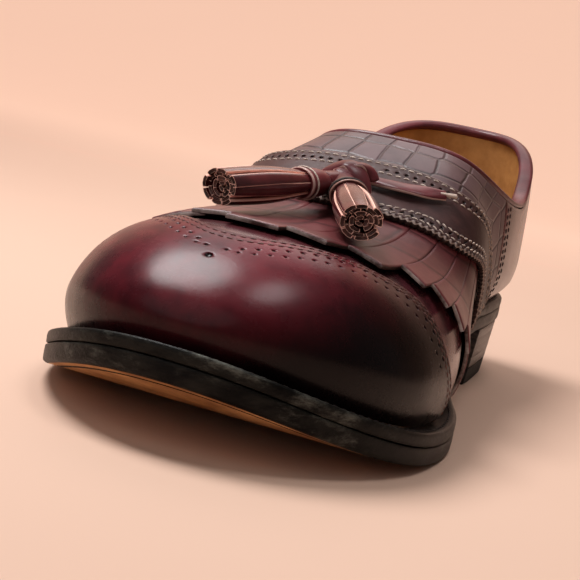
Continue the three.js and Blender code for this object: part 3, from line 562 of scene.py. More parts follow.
# The tassel strips' bright cut-edge colour is a painted highlight.
tassel_leather = leather("tassel_leather", (0.100, 0.017, 0.019), (0.034, 0.006, 0.008), 0.24, 0.25, gloss=0.26,
                         pale_edge_and_highlight=((0.86, 0.50, 0.41), 0.12, 0.55))
collar_leather = leather("collar_leather", (0.075, 0.022, 0.019), (0.034, 0.010, 0.009), 0.34, 0.1, gloss=0.24,
                         pale_edge_and_highlight=((0.30, 0.15, 0.12), 0.10, 0.5))
lace_leather = leather("lace_leather", (0.145, 0.026, 0.030), (0.060, 0.012, 0.014), 0.32, 0.05, gloss=0.15,
                       pale_edge_and_highlight=((0.50, 0.32, 0.28), 0.10, 0.6))
worn_leather = leather("worn_leather", (0.62, 0.50, 0.42), (0.30, 0.20, 0.17), 0.5, 0.0)
kiltie_edge = plain("kiltie_edge", (0.44, 0.36, 0.33), (0.050, 0.022, 0.020), 0.4, 160.0)
cut_edge = plain("cut_edge", (0.045, 0.022, 0.019), (0.014, 0.008, 0.008), 0.45, 200.0)
strip_end = plain("strip_end", (0.105, 0.045, 0.038), (0.020, 0.009, 0.008), 0.32, 260.0)
thread = plain("thread", (0.50, 0.40, 0.34), (0.24, 0.17, 0.14), 0.55, 900.0, 0.00012)
tassel_thread = plain("tassel_thread", (0.64, 0.52, 0.45), (0.40, 0.30, 0.25), 0.5, 900.0, 0.00012)
dark_thread = plain("dark_thread", (0.035, 0.025, 0.022), (0.015, 0.010, 0.010), 0.6, 900.0, 0.00012)
vamp_thread = plain("vamp_thread", (0.17, 0.08, 0.07), (0.06, 0.025, 0.024), 0.5, 900.0, 0.00012)
lining_leather = leather("lining_leather", (0.56, 0.27, 0.085), (0.34, 0.14, 0.040), 0.65, 0.0, grain=600.0, gloss=0.2)
insole_leather = leather("insole_leather", (0.48, 0.24, 0.09), (0.30, 0.13, 0.05), 0.65, 0.0, grain=500.0, gloss=0.2)
# The sole edge's pale spots are rubbed wear together with a painted reflection, stronger on the lateral side.
sole_edge = plain("sole_edge", (0.013, 0.012, 0.010), (0.0022, 0.0020, 0.0020), 0.40, 110.0, 0.00025, 0.0, (1, 1, 2.5),
                  scuff_and_sheen=(0.150, 0.150, 0.128), gloss=0.08)
sole_leather = plain("sole_leather", (0.62, 0.33, 0.135), (0.32, 0.14, 0.048), 0.5, 60.0, 0.00022)
channel_dark = plain("channel_dark", (0.045, 0.018, 0.008), (0.015, 0.007, 0.004), 0.7, 300.0)
stack_leather = plain("stack_leather", (0.045, 0.030, 0.024), (0.012, 0.008, 0.008), 0.38, 140.0, 0.0002, 0.15, (1, 1, 12))
lift_rubber = plain("lift_rubber", (0.022, 0.021, 0.021), (0.010, 0.010, 0.010), 0.7, 400.0, 0.00012)

# The vamp

foot = float(seam(np.array(SEAM_FOOT)))
k_fine = np.linspace(0, 1, 600)
COLUMNS = 200


def seam_turns(count):
    turns = SEAM_FOOT * k_fine
    return even(skin(seam(turns), turns), turns, count)


def toe_places(count, side):
    s = foot * k_fine ** 2
    return even(outline_point(s, side, 0.0), s, count)


def vamp_columns(side):
    turns = side * seam_turns(COLUMNS)
    middle = seam(turns)
    low = toe_places(COLUMNS, side)
    low_x, low_y = side * half_width(low, side), LENGTH * (low - 0.5)
    mid_x, mid_y = plan_of(middle, turns, side)
    v = np.linspace(0, 1, 260) ** 1.2
    x = mix(low_x[:, None], mid_x[:, None], v[None] ** 2) + side * 1e-6
    y = mix(low_y[:, None], mid_y[:, None], v[None] ** 2)
    s, turn = from_plan(x, y, side)
    r = reach(skin(s, turn))
    w = 1 - np.concatenate([np.linspace(0, 0.48, 88), np.linspace(0.48, 1, 40)[1:]])[::-1]
    out_s, out_t, rim = [], [], []
    for i in range(len(turns)):
        want = r[i, -1] * w
        out_s.append(np.interp(want, r[i], s[i]))
        out_t.append(np.interp(want, r[i], turn[i]))
        rim.append(r[i, -1] - want)
    out_s, out_t = np.array(out_s), np.array(out_t)
    out_s[:, -1], out_t[:, -1] = middle, turns
    return out_s, out_t, np.array(rim)


sides = [vamp_columns(-1), vamp_columns(1)]
vamp_s, vamp_t, vamp_rim = (np.concatenate([a[::-1], b[1:]]) for a, b in zip(*sides))
vamp_base = skin(vamp_s, vamp_t)
vamp_normal = -grid_normals(vamp_base)
vamp_share = 1 - vamp_rim / np.maximum(vamp_rim[:, :1], 1e-6)

# Two lines of stitches at these distances from the vamp's edge
VAMP_SEAMS = (1.9, 4.3)

# Punched holes: one at the front, and two rows that run back along the seam. Each branch has
# turns and their places.
HOLE_ROWS = []
upper_branch = ([0.0, 0.045, 0.10, 0.15, 0.20, 0.26, 0.32, 0.40, 0.50, 0.62, 0.80],
                [0.066, 0.074, 0.083, 0.093, 0.106, 0.127, 0.150, 0.182, 0.205, 0.218, 0.232])
lower_branch = ([0.0, 0.06, 0.12, 0.20, 0.28, 0.36, 0.45, 0.55, 0.66, 0.80],
                [0.066, 0.071, 0.077, 0.091, 0.114, 0.142, 0.174, 0.193, 0.205, 0.219])
VAMP_HOLE_PITCH = 4.0
for side in (-1, 1):
    for (turns, places), first, radius in ((upper_branch, 0.03, 0.46), (lower_branch, 0.07, 0.36)):
        t = np.linspace(first, 0.80, 200)
        s = np.interp(t, turns, places)
        p = above(s, side * t, SEAM_STEP)
        for a in np.interp(np.arange(0, reach(p)[-1], VAMP_HOLE_PITCH), reach(p), t):
            HOLE_ROWS.append((float(np.interp(a, turns, places)), side * float(a), radius))
HOLE_ROWS.append((0.059, 0.0, 0.95))
hole_s, hole_t, hole_r = np.array(HOLE_ROWS).T
vamp_offset = SEAM_STEP * smooth(vamp_share / 0.286)
vamp_top = vamp_base + vamp_normal * vamp_offset[..., None]
hole_centres = above(hole_s, hole_t, SEAM_STEP)
hole_field = np.full(vamp_top.shape[:2], FAR)
for radius in np.unique(hole_r):
    hole_field = np.minimum(hole_field, nearest(vamp_top, hole_centres[hole_r == radius]) - radius)
dimple = 0.45 * smooth(0.5 - hole_field / 0.7)
channel = sum(0.10 * np.exp(-((vamp_rim - place) / 0.35) ** 2) for place in VAMP_SEAMS)
lip = 0.35 * np.clip(1 - vamp_rim / 0.6, 0, 1) ** 2
vamp_top = vamp_top - vamp_normal * (dimple + (channel + lip) * smooth(vamp_share / 0.3))[..., None]
vamp = Form()
arc = reach(vamp_base[:, -1])
vamp_uv = np.stack([np.broadcast_to(arc[:, None], vamp_rim.shape), vamp_rim], -1)
vamp.grid(vamp_top, uv=vamp_uv, rim=vamp_rim, hole=hole_field)
edge_low = vamp_base[:, -1] - vamp_normal[:, -1] * 0.1
back_way = unit(vamp_base[:, -1] - vamp_base[:, -3])
edge_strip(vamp, vamp_top[:, -1], edge_low, 1, back_way * 0.12)
for end in (0, -1):
    low_line = vamp_base[end] - vamp_normal[end] * 0.1
    side_way = unit(vamp_base[end] - vamp_base[3 if end == 0 else -4])
    edge_strip(vamp, vamp_top[end], low_line, 1, side_way * 0.05, flip=end == -1)
for offset in VAMP_SEAMS:
    line, normal = [], []
    for i in range(len(vamp_rim)):
        if vamp_rim[i, 0] < offset + 2:
            continue
        j = np.interp(-offset, -vamp_rim[i], np.arange(vamp_rim.shape[1]))
        a = int(j)
        line.append(mix(vamp_top[i, a], vamp_top[i, min(a + 1, vamp_rim.shape[1] - 1)], j - a))
        normal.append(vamp_normal[i, a])
    stitches(vamp, np.array(line), np.array(normal), 2.6, 1.9, 0.58, 0.45, 2,
             start=0.6 if offset == VAMP_SEAMS[1] else 0)

# The rest of the upper: quarters under the overlays, and the lining
TOP_COLUMNS = 150
top_k = np.linspace(0, 1, 800)
top_fine = THROAT + (1 - THROAT) * (1 - np.cos(top_k * np.pi)) / 2


def upper_columns(side, lining):
    line = skin(top_fine, side * topline_turn(top_fine))
    tops = even(line, top_fine, TOP_COLUMNS, 1.9)
    share = np.linspace(0, 1, TOP_COLUMNS + 1)
    on_seam = share <= 12 / 27 + 1e-9
    turns = seam_turns(600)
    toes = toe_places(600, side)
    side_fine = foot + (1 - foot) * np.sin(k_fine * QUARTER)
    side_even = even(outline_point(side_fine, side, 0.0), side_fine, 600)
    at = lambda table, k: np.interp(np.clip(k, 0, 1), np.linspace(0, 1, 601), table)
    start_turn = np.where(on_seam, at(turns, share * 27 / 12), 1.0)
    start_s = np.where(on_seam, seam(start_turn), at(side_even, (share * 27 - 12) / 15))
    rows = np.linspace(0, 1, 46)
    s = mix(start_s[:, None], tops[:, None], rows)
    turn = mix(start_turn[:, None], topline_turn(tops)[:, None], rows) * side
    if not lining:
        return s, turn
    low = np.where(on_seam, at(toes, share * 27 / 12), start_s)
    low_x, low_y = side * half_width(low, side), LENGTH * (low - 0.5)
    mid_x, mid_y = plan_of(start_s, start_turn, side)
    v = np.linspace(0, 1, 20)[None, :-1] ** 2
    cs, ct = from_plan(mix(low_x[:, None], mid_x[:, None], v) + side * 1e-6, mix(low_y[:, None], mid_y[:, None], v), side)
    flat = ~on_seam
    cs[flat], ct[flat] = start_s[flat, None], side * 1.0
    return np.hstack([cs, s]), np.hstack([ct, turn])


def loop_of(lining):
    a, b = upper_columns(-1, lining), upper_columns(1, lining)
    return [np.concatenate([x, y[1:-1][::-1]]) for x, y in zip(a, b)]


quarter_s, quarter_t = loop_of(False)
quarter = skin(quarter_s, quarter_t)
quarter_normal = grid_normals(quarter, True)
vamp.grid(quarter, slot=3, loop=True, flip=True, uv=np.stack([quarter_s * LENGTH, quarter_t * 60], -1))
vamp.piece("upper_leather", [vamp_leather, cut_edge, vamp_thread, counter_leather], "vamp", "upper")

lining_s, lining_t = loop_of(True)
lining_base = skin(lining_s, lining_t)
lining_in = lining_base - grid_normals(lining_base, True) * WALL
lining = Form().grid(lining_in, loop=True)
lining.piece("lining", [lining_leather], "insole_leather")

# Topline binding: a rolled bead on the rim
rim_line = quarter[:, -1]
rim_normal = quarter_normal[:, -1]
rim_up = unit(quarter[:, -1] - quarter[:, -2])
bead_centre = rim_line - rim_normal * WALL / 2
a = np.linspace(0, 2 * np.pi, 21)[:-1]
bead = (bead_centre[:, None] + rim_normal[:, None] * (np.cos(a) * 2.7)[None, :, None]
        + rim_up[:, None] * (1.1 + 2.0 * np.sin(a))[None, :, None])
bead_uv = np.stack(np.broadcast_arrays(reach(bead_centre)[:, None], a[None] * 2), -1)
binding = Form().grid(bead, loop=True, ring=True, flip=True, uv=bead_uv)
binding.piece("topline_bead", [binding_leather], "binding", "topline_binding")


# Leaves laid over the upper

EDGE_ZONE, EDGE_DROP = 0.55, 0.35


def leaf(form, front, back, turns, rows, low, thick, side_rim=None, relief=None, front_slot=1):
    """A leaf of leather over the upper. front and back are places per turn, low(s, turn) is the
    height of the underside. Its top has material 0 and its other faces material 1, or front_slot
    on the front edge. Returns what the stitches need."""
    k = np.linspace(0, 1, 80)
    s = mix(front[:, None], back[:, None], k)
    t = np.broadcast_to(turns[:, None], s.shape)
    r = reach(above(s, t, low(s, t)))
    out = np.empty((len(turns), rows + 8))
    for i in range(len(turns)):
        full = r[i, -1]
        near_edge = np.array([0, 0.12, 0.3, EDGE_ZONE])
        middle = np.linspace(EDGE_ZONE, full - EDGE_ZONE, rows + 2)[1:-1]
        want = np.concatenate([near_edge, middle, full - near_edge[::-1]])
        out[i] = np.interp(want, r[i], k)
    s = mix(front[:, None], back[:, None], out)
    t = np.broadcast_to(turns[:, None], s.shape)
    base = skin(s, t)
    normal = outward(s, t)
    bottom = low(s, t)
    run = reach(base + normal * bottom[..., None])
    rim = np.minimum(run, run[:, -1:] - run)
    if side_rim is not None:
        rim = np.minimum(rim, side_rim[:, None])
    height = bottom + thick - EDGE_DROP * np.clip(1 - rim / EDGE_ZONE, 0, 1) ** 2
    hole = None
    if relief is not None:
        extra, hole = relief(run, run[:, -1:] - run)
        height = height + extra
    top = base + normal * height[..., None]
    across = reach(base[:, base.shape[1] // 2])
    uv = np.stack([np.broadcast_to(across[:, None], run.shape), run[:, -1:] - run], -1)
    form.grid(top, slot=0, uv=uv, rim=rim, hole=hole)
    under = base + normal * bottom[..., None]
    form.grid(under, slot=1, flip=True)
    edge_strip(form, top[:, 0], under[:, 0], front_slot, unit(base[:, 0] - base[:, 3]) * 0.1, flip=True)
    edge_strip(form, top[:, -1], under[:, -1], 1, unit(base[:, -1] - base[:, -4]) * 0.1)
    edge_strip(form, top[0], under[0], 1, unit(base[0] - base[3]) * 0.1)
    edge_strip(form, top[-1], under[-1], 1, unit(base[-1] - base[-4]) * 0.1, flip=True)
    return {"top": top, "normal": normal, "run": run, "back": run[:, -1:] - run}


def line_at(made, key, distance):
    """The line on a leaf's top at a distance from its front ("run") or back ("back") edge."""
    table = made[key] if key == "run" else made[key][:, ::-1]
    top = made["top"] if key == "run" else made["top"][:, ::-1]
    normal = made["normal"] if key == "run" else made["normal"][:, ::-1]

    def take(a):
        return np.array([[np.interp(distance, row, a[i, :, c]) for c in range(3)] for i, row in enumerate(table)])

    return take(top), unit(take(normal))


def foot_turns(count):
    k = np.linspace(-1, 1, count)
    return np.sign(k) * LEAF_FOOT * (1 - (1 - np.abs(k)) ** 1.5)


KILTIE_LOW = GAP + 2 * FACET_ROOM
STRAP_LOW = KILTIE_LOW + KILTIE_THICKNESS + GAP + FACET_ROOM
STRAP_TOP = STRAP_LOW + STRAP_THICKNESS


def kiltie_back(turn):
    return mix(strap_front(turn), strap_back(turn), KILTIE_TUCK)


def kiltie_low(s, turn):
    k = np.clip((strap_front(turn) - s) / (strap_front(0.0) - seam(0.0)), 0, 1.3)
    return KILTIE_LOW + KILTIE_LIFT * k * k


# Kiltie. TURN_LENGTH is about the millimetres of leather to one turn.
TURN_LENGTH = 62.0
kiltie = Form()
for start, end, tip, curl in STRIPS:
    inner = np.linspace(start, end, 22)
    nick = np.array([0.0, 0.002, 0.005, 0.010])
    turns = np.unique(np.concatenate([start + nick, inner[2:-2], end - nick]))
    side_rim = np.minimum(turns - start, end - turns) * TURN_LENGTH
    middle = (start + end) / 2

    def low(s, t):
        free = np.clip((strap_front(t) - s) / (strap_front(t) - tip), 0, 1)
        cup = ((t - middle) / (end - start)) ** 2
        return kiltie_low(s, t) + curl * free ** 3 + 0.5 * cup * free ** 2

    leaf(kiltie, np.full(len(turns), tip), kiltie_back(turns), turns, 46, low, KILTIE_THICKNESS,
         side_rim=side_rim, front_slot=2)
kiltie.piece("kiltie_leaf", [scale_leather, cut_edge, kiltie_edge], "grained", "kiltie")

# Instep band
band_turns = foot_turns(220)
rim_place = topline_place(band_turns) - 1.0 / LENGTH
band_back = np.minimum(rim_place, COUNTER_FRONT - 2 * GAP / LENGTH)
band_form = Form()
leaf(band_form, kiltie_back(band_turns) + 2 * GAP / LENGTH, band_back, band_turns, 60,
     lambda s, t: np.full(s.shape, GAP + FACET_ROOM), BAND_THICKNESS - FACET_ROOM)
band_form.piece("instep_band_leather", [band_leather, cut_edge], "band", "instep_band")

# Saddle strap with a gimped front edge
strap_turns = foot_turns(760)
base_line = above(strap_front(strap_turns), strap_turns, np.full(strap_turns.shape, STRAP_TOP))
strap_arc = reach(base_line)
TOOTH = 2.1
tooth = np.abs((strap_arc / TOOTH) % 1.0 - 0.5) * 2
gimped = strap_front(strap_turns) + (0.9 * tooth ** 1.3 - 0.5) / LENGTH


# Lines along the strap: from its front edge ("run") or its back edge ("back"), and how far
STRAP_SEAMS = (("run", 2.9), ("run", 6.9), ("back", 1.6), ("back", 6.4))
STRAP_HOLE_LINES = (("run", 4.9), ("back", 4.4))
STRAP_HOLE_PITCH, STRAP_HOLE_RADIUS = 3.3, 0.6


def strap_relief(run, back):
    edges = {"run": run, "back": back}
    along = np.broadcast_to(strap_arc[:, None], run.shape)
    phase = along % STRAP_HOLE_PITCH - STRAP_HOLE_PITCH / 2
    hole = np.full(run.shape, FAR)
    for key, distance in STRAP_HOLE_LINES:
        hole = np.minimum(hole, np.hypot(phase, edges[key] - distance) - STRAP_HOLE_RADIUS)
    twist = np.cos((along - run * 0.8) / TOOTH * 2 * np.pi)
    rope = 0.55 * np.exp(-((run - 0.9) / 0.8) ** 2) * (0.5 + 0.5 * twist)
    groove = sum(-0.10 * np.exp(-((edges[key] - place) / 0.35) ** 2) for key, place in STRAP_SEAMS)
    return rope + groove - 0.4 * smooth(0.5 - hole / 0.6), hole


strap = Form()
made = leaf(strap, gimped, strap_back(strap_turns), strap_turns, 62, lambda s, t: np.full(s.shape, STRAP_LOW),
            STRAP_THICKNESS, relief=strap_relief)
for key, distance in STRAP_SEAMS:
    line, normal = line_at(made, key, distance)
    stitches(strap, line[6:-6], normal[6:-6], 2.8, 2.1, 0.72, 0.55, 2)
strap.piece("saddle_strap_leather", [strap_leather, cut_edge, thread], "strap", "saddle_strap")

# Heel counter with a raised strip up its back
counter = Form()
BACK_STRIP_HALF, BACK_STRIP_RISE = 6.2, 0.55


def counter_columns(side):
    k = np.linspace(0, 1, 500)
    s = COUNTER_FRONT + (1 - COUNTER_FRONT) * np.sin(k * QUARTER)
    places = even(outline_point(s, side, 0.0), s, 90)
    rows = np.linspace(0, 1, 40) ** 1.2
    turn = mix(LEAF_FOOT, (topline_turn(places) + 0.004)[:, None], rows)
    return np.broadcast_to(places[:, None], turn.shape), side * turn


pair = [counter_columns(-1), counter_columns(1)]
counter_s, counter_t = (np.concatenate([x, y[:-1][::-1]]) for x, y in zip(*pair))
counter_base = skin(counter_s, counter_t)
counter_normal = grid_normals(counter_base)
front_run = reach(counter_base.transpose(1, 0, 2)).T
counter_rim = np.minimum(front_run, front_run[-1:] - front_run)
up_run = reach(counter_base)
counter_rim = np.minimum(counter_rim, np.minimum(up_run, up_run[:, -1:] - up_run))
half_way = len(counter_s) // 2
from_back = np.abs(front_run - front_run[half_way:half_way + 1])
strip = BACK_STRIP_RISE * smooth((BACK_STRIP_HALF - from_back) / 0.6)
counter_low = counter_base + counter_normal * 0.5
counter_height = 1.5 + strip - 0.3 * np.clip(1 - counter_rim / 0.6, 0, 1) ** 2
counter_top = counter_base + counter_normal * counter_height[..., None]
counter.grid(counter_top, flip=True, uv=np.stack([front_run, up_run], -1), rim=counter_rim)
counter.grid(counter_low, slot=1)
edge_strip(counter, counter_top[0], counter_low[0], 1, unit(counter_base[0] - counter_base[3]) * 0.08, flip=True)
edge_strip(counter, counter_top[-1], counter_low[-1], 1, unit(counter_base[-1] - counter_base[-4]) * 0.08)
top_way = unit(counter_base[:, -1] - counter_base[:, -4])
edge_strip(counter, counter_top[:, -1], counter_low[:, -1], 1, top_way * 0.05, flip=True)
for column in (3, 6):
    for index in (column, -1 - column):
        stitches(counter, counter_top[index], counter_normal[index], 2.4, 1.8, 0.5, 0.42, 2, start=0.4)
counter.piece("heel_counter_leather", [counter_leather, cut_edge, dark_thread], "counter", "heel_counter")

# Soles. Profiles have the distance out from the edge and the height over the sole's underside.

def around(grow, ledge):
    """The upper's feather line, moved out by grow and by its share of the ledge."""
    lines = []
    for side in (-1, 1):
        k = np.linspace(0, 1, 900)
        s = (1 - np.cos(k * np.pi)) / 2
        places = even(outline_point(s, side, 0.0), s, 110)
        lines.append(outline_point(places, side, ledge * last["ledge"](places) + grow))
    return np.concatenate([lines[0], lines[1][1:-1][::-1]])


def outline(grow):
    return around(grow, LEDGE)


def inside_line(grow):
    return around(grow, 0.0)


def lifted(line, height):
    out = line.copy()
    out[:, 2] = clearance(line[:, 1] / LENGTH + 0.5) + height
    return out


def cap(form, line, height, slot, steps, flip=False):
    n = len(line)
    left = line[:n // 2 + 1]
    right = np.concatenate([line[:1], line[:n // 2 - 1:-1]])
    k = np.linspace(0, 1, steps)
    p = mix(left[:, None], right[:, None], k[None, :, None])
    width = np.linalg.norm(left - right, axis=-1)[:, None]
    rim = np.minimum(k, 1 - k)[None] * width
    p[..., 2] = clearance(p[..., 1] / LENGTH + 0.5) + height
    form.grid(p, slot=slot, flip=flip, uv=p[..., :2], rim=rim)


def stitch_round(form, line, up, *sizes):
    """Stitches on a closed level line, on its upper side or, with up = -1, its underside."""
    stitches(form, np.concatenate([line, line[:1]]), np.tile([0.0, 0.0, up], (len(line) + 1, 1)), *sizes)


sole = Form()
profile = [(-1.3, 0.0), (-0.7, 0.12), (-0.25, 0.45), (0.0, 1.0), (0.1, 2.4), (0.08, 4.3), (0.0, 4.8), (-0.25, 5.0)]
rings = np.stack([lifted(outline(g), h) for g, h in profile], 1)
sole.grid(rings, slot=0, loop=True, flip=True, rim=0.0)
channel_profile = [(-1.3, 0.0), (-3.6, 0.0), (-4.0, 0.25), (-4.3, 0.5), (-4.6, 0.25), (-5.0, 0.0), (-7.0, 0.0)]
under = np.stack([lifted(outline(g), h) for g, h in channel_profile], 1)
sole.grid(under[:, :2], slot=1, loop=True, rim=3.0)
sole.grid(under[:, 1:6], slot=2, loop=True, rim=3.0)
sole.grid(under[:, 5:], slot=1, loop=True, rim=5.0)
cap(sole, outline(-7.0), 0.0, 1, 40)
cap(sole, outline(-0.25), 5.0, 0, 6, flip=True)
line = lifted(outline(-4.3), 0.32)
stitch_round(sole, line, -1.0, 3.4, 2.3, 0.8, 0.6, 3)
sole.piece("outsole_leather", [sole_edge, sole_leather, channel_dark, dark_thread], "sole_leather", "outsole")

welt = Form()
profile = [(-5.0, 5.3), (-0.25, 5.3), (0.0, 5.45), (0.06, 6.2), (0.1, 7.3), (0.0, 8.2), (-0.4, 8.8), (-1.0, 9.0),
           (-2.4, 9.0)]
rings = [lifted(outline(g), h) for g, h in profile]
rings.append(lifted(inside_line(-1.5), 9.0))
rings.append(lifted(inside_line(-3.5), 9.0))
rings.append(lifted(inside_line(-3.5), 5.3))
welt.grid(np.stack(rings, 1), loop=True, ring=True, flip=True, rim=0.0)
line = lifted(outline(-2.3), 9.02)
stitch_round(welt, line, 1.0, 3.0, 2.2, 0.7, 0.5, 1)
welt.piece("welt_strip", [sole_edge, dark_thread], "edge", "welt")

insole = Form()
edge = inside_line(-SEAT - GAP)
rings = [lifted(edge, 5.3), lifted(edge, 9.2), lifted(inside_line(-SEAT + 0.3), 9.6), lifted(inside_line(-SEAT), 10.2)]
insole.grid(np.stack(rings, 1), loop=True, flip=True, rim=0.0)
cap(insole, inside_line(-SEAT), 10.2, 0, 24, flip=True)
cap(insole, edge, 5.3, 0, 6)
insole.piece("insole_board", [insole_leather], "insole_leather", "insole")


def heel_line(taper):
    lines = []
    for side in (-1, 1):
        k = np.linspace(0, 1, 500)
        s = HEEL_BREAST + (1 - HEEL_BREAST) * np.sin(k * QUARTER)
        places = even(outline_point(s, side, 0.0), s, 60)
        lines.append(outline_point(places, side, LEDGE * last["ledge"](places) - taper))
    left, right = lines
    x = np.linspace(right[0, 0], left[0, 0], 14)[1:-1]
    breast = np.stack([x, left[0, 1] + HEEL_TAPER * (1 - (2 * (x - x.mean()) / (x[0] - x[-1])) ** 2), 0 * x], -1)
    return np.concatenate([left, right[:-1][::-1], breast])


def flat_at(line, height):
    out = line.copy()
    out[:, 2] = height
    return out


def fan(form, line, slot, flip=False):
    middle = line.mean(0)
    rows = np.stack([mix(line, middle[None], k) for k in (0, 0.03, 0.3, 0.6, 0.99)], 1)
    form.grid(rows, slot=slot, loop=True, flip=flip)


def close(form, levels):
    """Stacked closed lines with a face at the bottom and the top."""
    form.grid(np.stack(levels, 1), loop=True, flip=True, rim=0.0)
    fan(form, levels[0], 0)
    fan(form, levels[-1], 0, flip=True)


heel = Form()
levels = []
layers = [6.3, 9.9, 13.5, 17.1, 20.7]
for low, high in zip(layers[:-1], layers[1:]):
    for z, extra in ((low + 0.05, 0.22), (low + 0.3, 0.0), (high - 0.3, 0.0), (high - 0.05, 0.22)):
        taper = mix(HEEL_TAPER * 0.75, 0.5, (z - 6.3) / 14.4) + extra
        levels.append(flat_at(heel_line(taper), z))
close(heel, levels)
heel.piece("heel_stack_leather", [stack_leather], "stack", "heel_stack")

lift = Form()
profile = ((2.6, 0.0), (2.1, 0.25), (2.0, 0.9), (1.6, 5.6), (1.7, 5.95), (2.2, 6.0))
close(lift, [flat_at(heel_line(taper), z) for taper, z in profile])
lift.piece("heel_lift_rubber", [lift_rubber], "lift", "heel_top_lift")

# The ornament

KNOT_S, KNOT_T = 0.40, -0.011


def frame_at(s, turn, height):
    s, turn = np.float64(s), np.float64(turn)
    origin = above(s, turn, height)
    up = outward(s, turn)
    heelward = above(s + 0.01, turn, height) - origin
    across = unit(np.cross(heelward, up))
    heelward = np.cross(up, across)
    return origin, across, heelward, up


KNOT_RADIUS, KNOT_FLATNESS, NECK_LENGTH = 8.0, 0.6, 9.5
knot_o, knot_x, knot_y, knot_z = frame_at(KNOT_S, KNOT_T, STRAP_TOP + GAP + KNOT_RADIUS * KNOT_FLATNESS)


def knot_point(x, y, z):
    return knot_o + knot_x * np.asarray(x)[..., None] + knot_y * np.asarray(y)[..., None] + knot_z * np.asarray(z)[..., None]


TUBE_SIDES = 20


def tube(form, path, normal, width, height, slot=0, square=2.6, twist=None):
    """A soft flat cord with rounded ends along a path of points: width across, height along the normal."""
    n = len(path)
    tangent = unit(np.gradient(path, axis=0))
    normal = unit(normal - tangent * (normal * tangent).sum(-1, keepdims=True))
    across = np.cross(tangent, normal)
    if twist is not None:
        c, s = np.cos(twist)[:, None], np.sin(twist)[:, None]
        across, normal = across * c + normal * s, normal * c - across * s
    a = np.linspace(0, 2 * np.pi, TUBE_SIDES + 1)[:-1]
    ca = np.sign(np.cos(a)) * np.abs(np.cos(a)) ** (2 / square)
    sa = np.sign(np.sin(a)) * np.abs(np.sin(a)) ** (2 / square)
    w = np.broadcast_to(width, n)[:, None, None] / 2
    h = np.broadcast_to(height, n)[:, None, None] / 2
    rings = path[:, None] + across[:, None] * ca[None, :, None] * w + normal[:, None] * sa[None, :, None] * h

    def rounding(end, way, shares):
        middle, reach_out = path[end], tangent[end] * way * float(h[end, 0, 0]) * 0.5
        return np.stack([middle + (rings[end] - middle) * k + reach_out * (1 - k) for k in shares])

    rings = np.concatenate([rounding(0, -1, (0.02, 0.5, 0.85)), rings, rounding(-1, 1, (0.85, 0.5, 0.02))])
    r = reach(rings[:, 0])
    uv = np.stack([np.broadcast_to(r[:, None], rings.shape[:2]), np.broadcast_to(a, rings.shape[:2])], -1)
    edge = np.where(np.abs(ca) > 0.93, 0.2, FAR)
    form.grid(rings, slot=slot, ring=True, uv=uv, rim=np.broadcast_to(edge, rings.shape[:2]))


def curve(points, count):
    """A smooth line through points."""
    points = np.asarray(points, float)
    k = np.linspace(0, 1, len(points))
    fine = np.linspace(0, 1, count)
    return np.stack([spline(k, points[:, i])(fine) for i in range(3)], -1)


TASSELS = {"tassel_lateral": (0.204, -0.176, 9.0), "tassel_medial": (0.211, 0.198, 9.0)}
ends = {name: above(np.float64(s), np.float64(t), h) for name, (s, t, h) in TASSELS.items()}

knot = Form()
up_vector = lambda n: np.tile(knot_z, (n, 1))
for name, end in ends.items():
    direction = unit(end - knot_o)
    path = np.stack([knot_o + direction * d for d in np.linspace(0.0, NECK_LENGTH + 0.4, 14)])
    tube(knot, path, up_vector(14), 7.4, 6.6, square=2.2)
wrap = curve([knot_point(-6.6, -1.0, -4.4), knot_point(-5.6, 2.2, 0.6), knot_point(-1.0, 3.6, 4.0),
              knot_point(3.2, 1.8, 3.6), knot_point(6.4, -1.4, -0.4), knot_point(6.0, -2.6, -4.4)], 40)
tube(knot, wrap, up_vector(40), 6.4, 2.4)
cross = curve([knot_point(-3.4, 6.4, -3.8), knot_point(-2.2, 4.0, 0.4), knot_point(-0.2, 0.4, 3.0),
               knot_point(1.0, -3.4, 1.6), knot_point(1.2, -5.4, -2.0)], 36)
tube(knot, cross, up_vector(36), 6.0, 2.3)
core = curve([knot_point(-5.6, 0, -2.0), knot_point(0, 0.4, -0.6), knot_point(5.4, -0.4, -2.0)], 16)
tube(knot, core, up_vector(16), 9.0, 6.0, square=2.2)
pinch = curve([knot_point(0.6, 1.6, 3.6), knot_point(3.2, 4.4, 4.6), knot_point(6.2, 5.4, 3.4),
               knot_point(8.6, 4.6, 0.6)], 30)
tube(knot, pinch, up_vector(30), mix(3.0, 4.6, np.sin(np.linspace(0, 2 * QUARTER, 30))), 1.5,
     twist=np.linspace(0.5, -0.4, 30))
knot.piece("lace_knot_leather", [lace_leather], "lace", "lace_knot")

tail_form = Form()
count = 40
k = np.linspace(0, 1, count)
tail_low = STRAP_TOP + GAP + FACET_ROOM
tail_points, tail_up = [], []
for i in k:
    o, x, y, z = frame_at(mix(0.442, 0.471, i * i), mix(-0.004, 0.302, i), tail_low + 1.15)
    tail_points.append(o)
    tail_up.append(z)
tail_points, tail_up = np.array(tail_points), np.array(tail_up)
body = k <= 0.86
taper = mix(0.62, 1.0, smooth(k / 0.3)) * mix(1.0, 0.46, smooth((k - 0.45) / 0.5))
tube(tail_form, tail_points[body], tail_up[body], 6.6 * taper[body], 2.1 * mix(1.0, 0.7, k[body]), square=2.4,
     twist=0.22 * np.sin(k[body] * 5))
worn = k >= 0.76
tube(tail_form, tail_points[worn] + tail_up[worn] * 0.45, tail_up[worn], mix(1.0, 1.7, np.linspace(0, 1, worn.sum())), 1.0,
     slot=1, square=2.2)
tail_form.piece("lace_tail_leather", [lace_leather, worn_leather], "lace", "lace_tail")


# Where the strips leave the collar
STRIP_START = 10.2


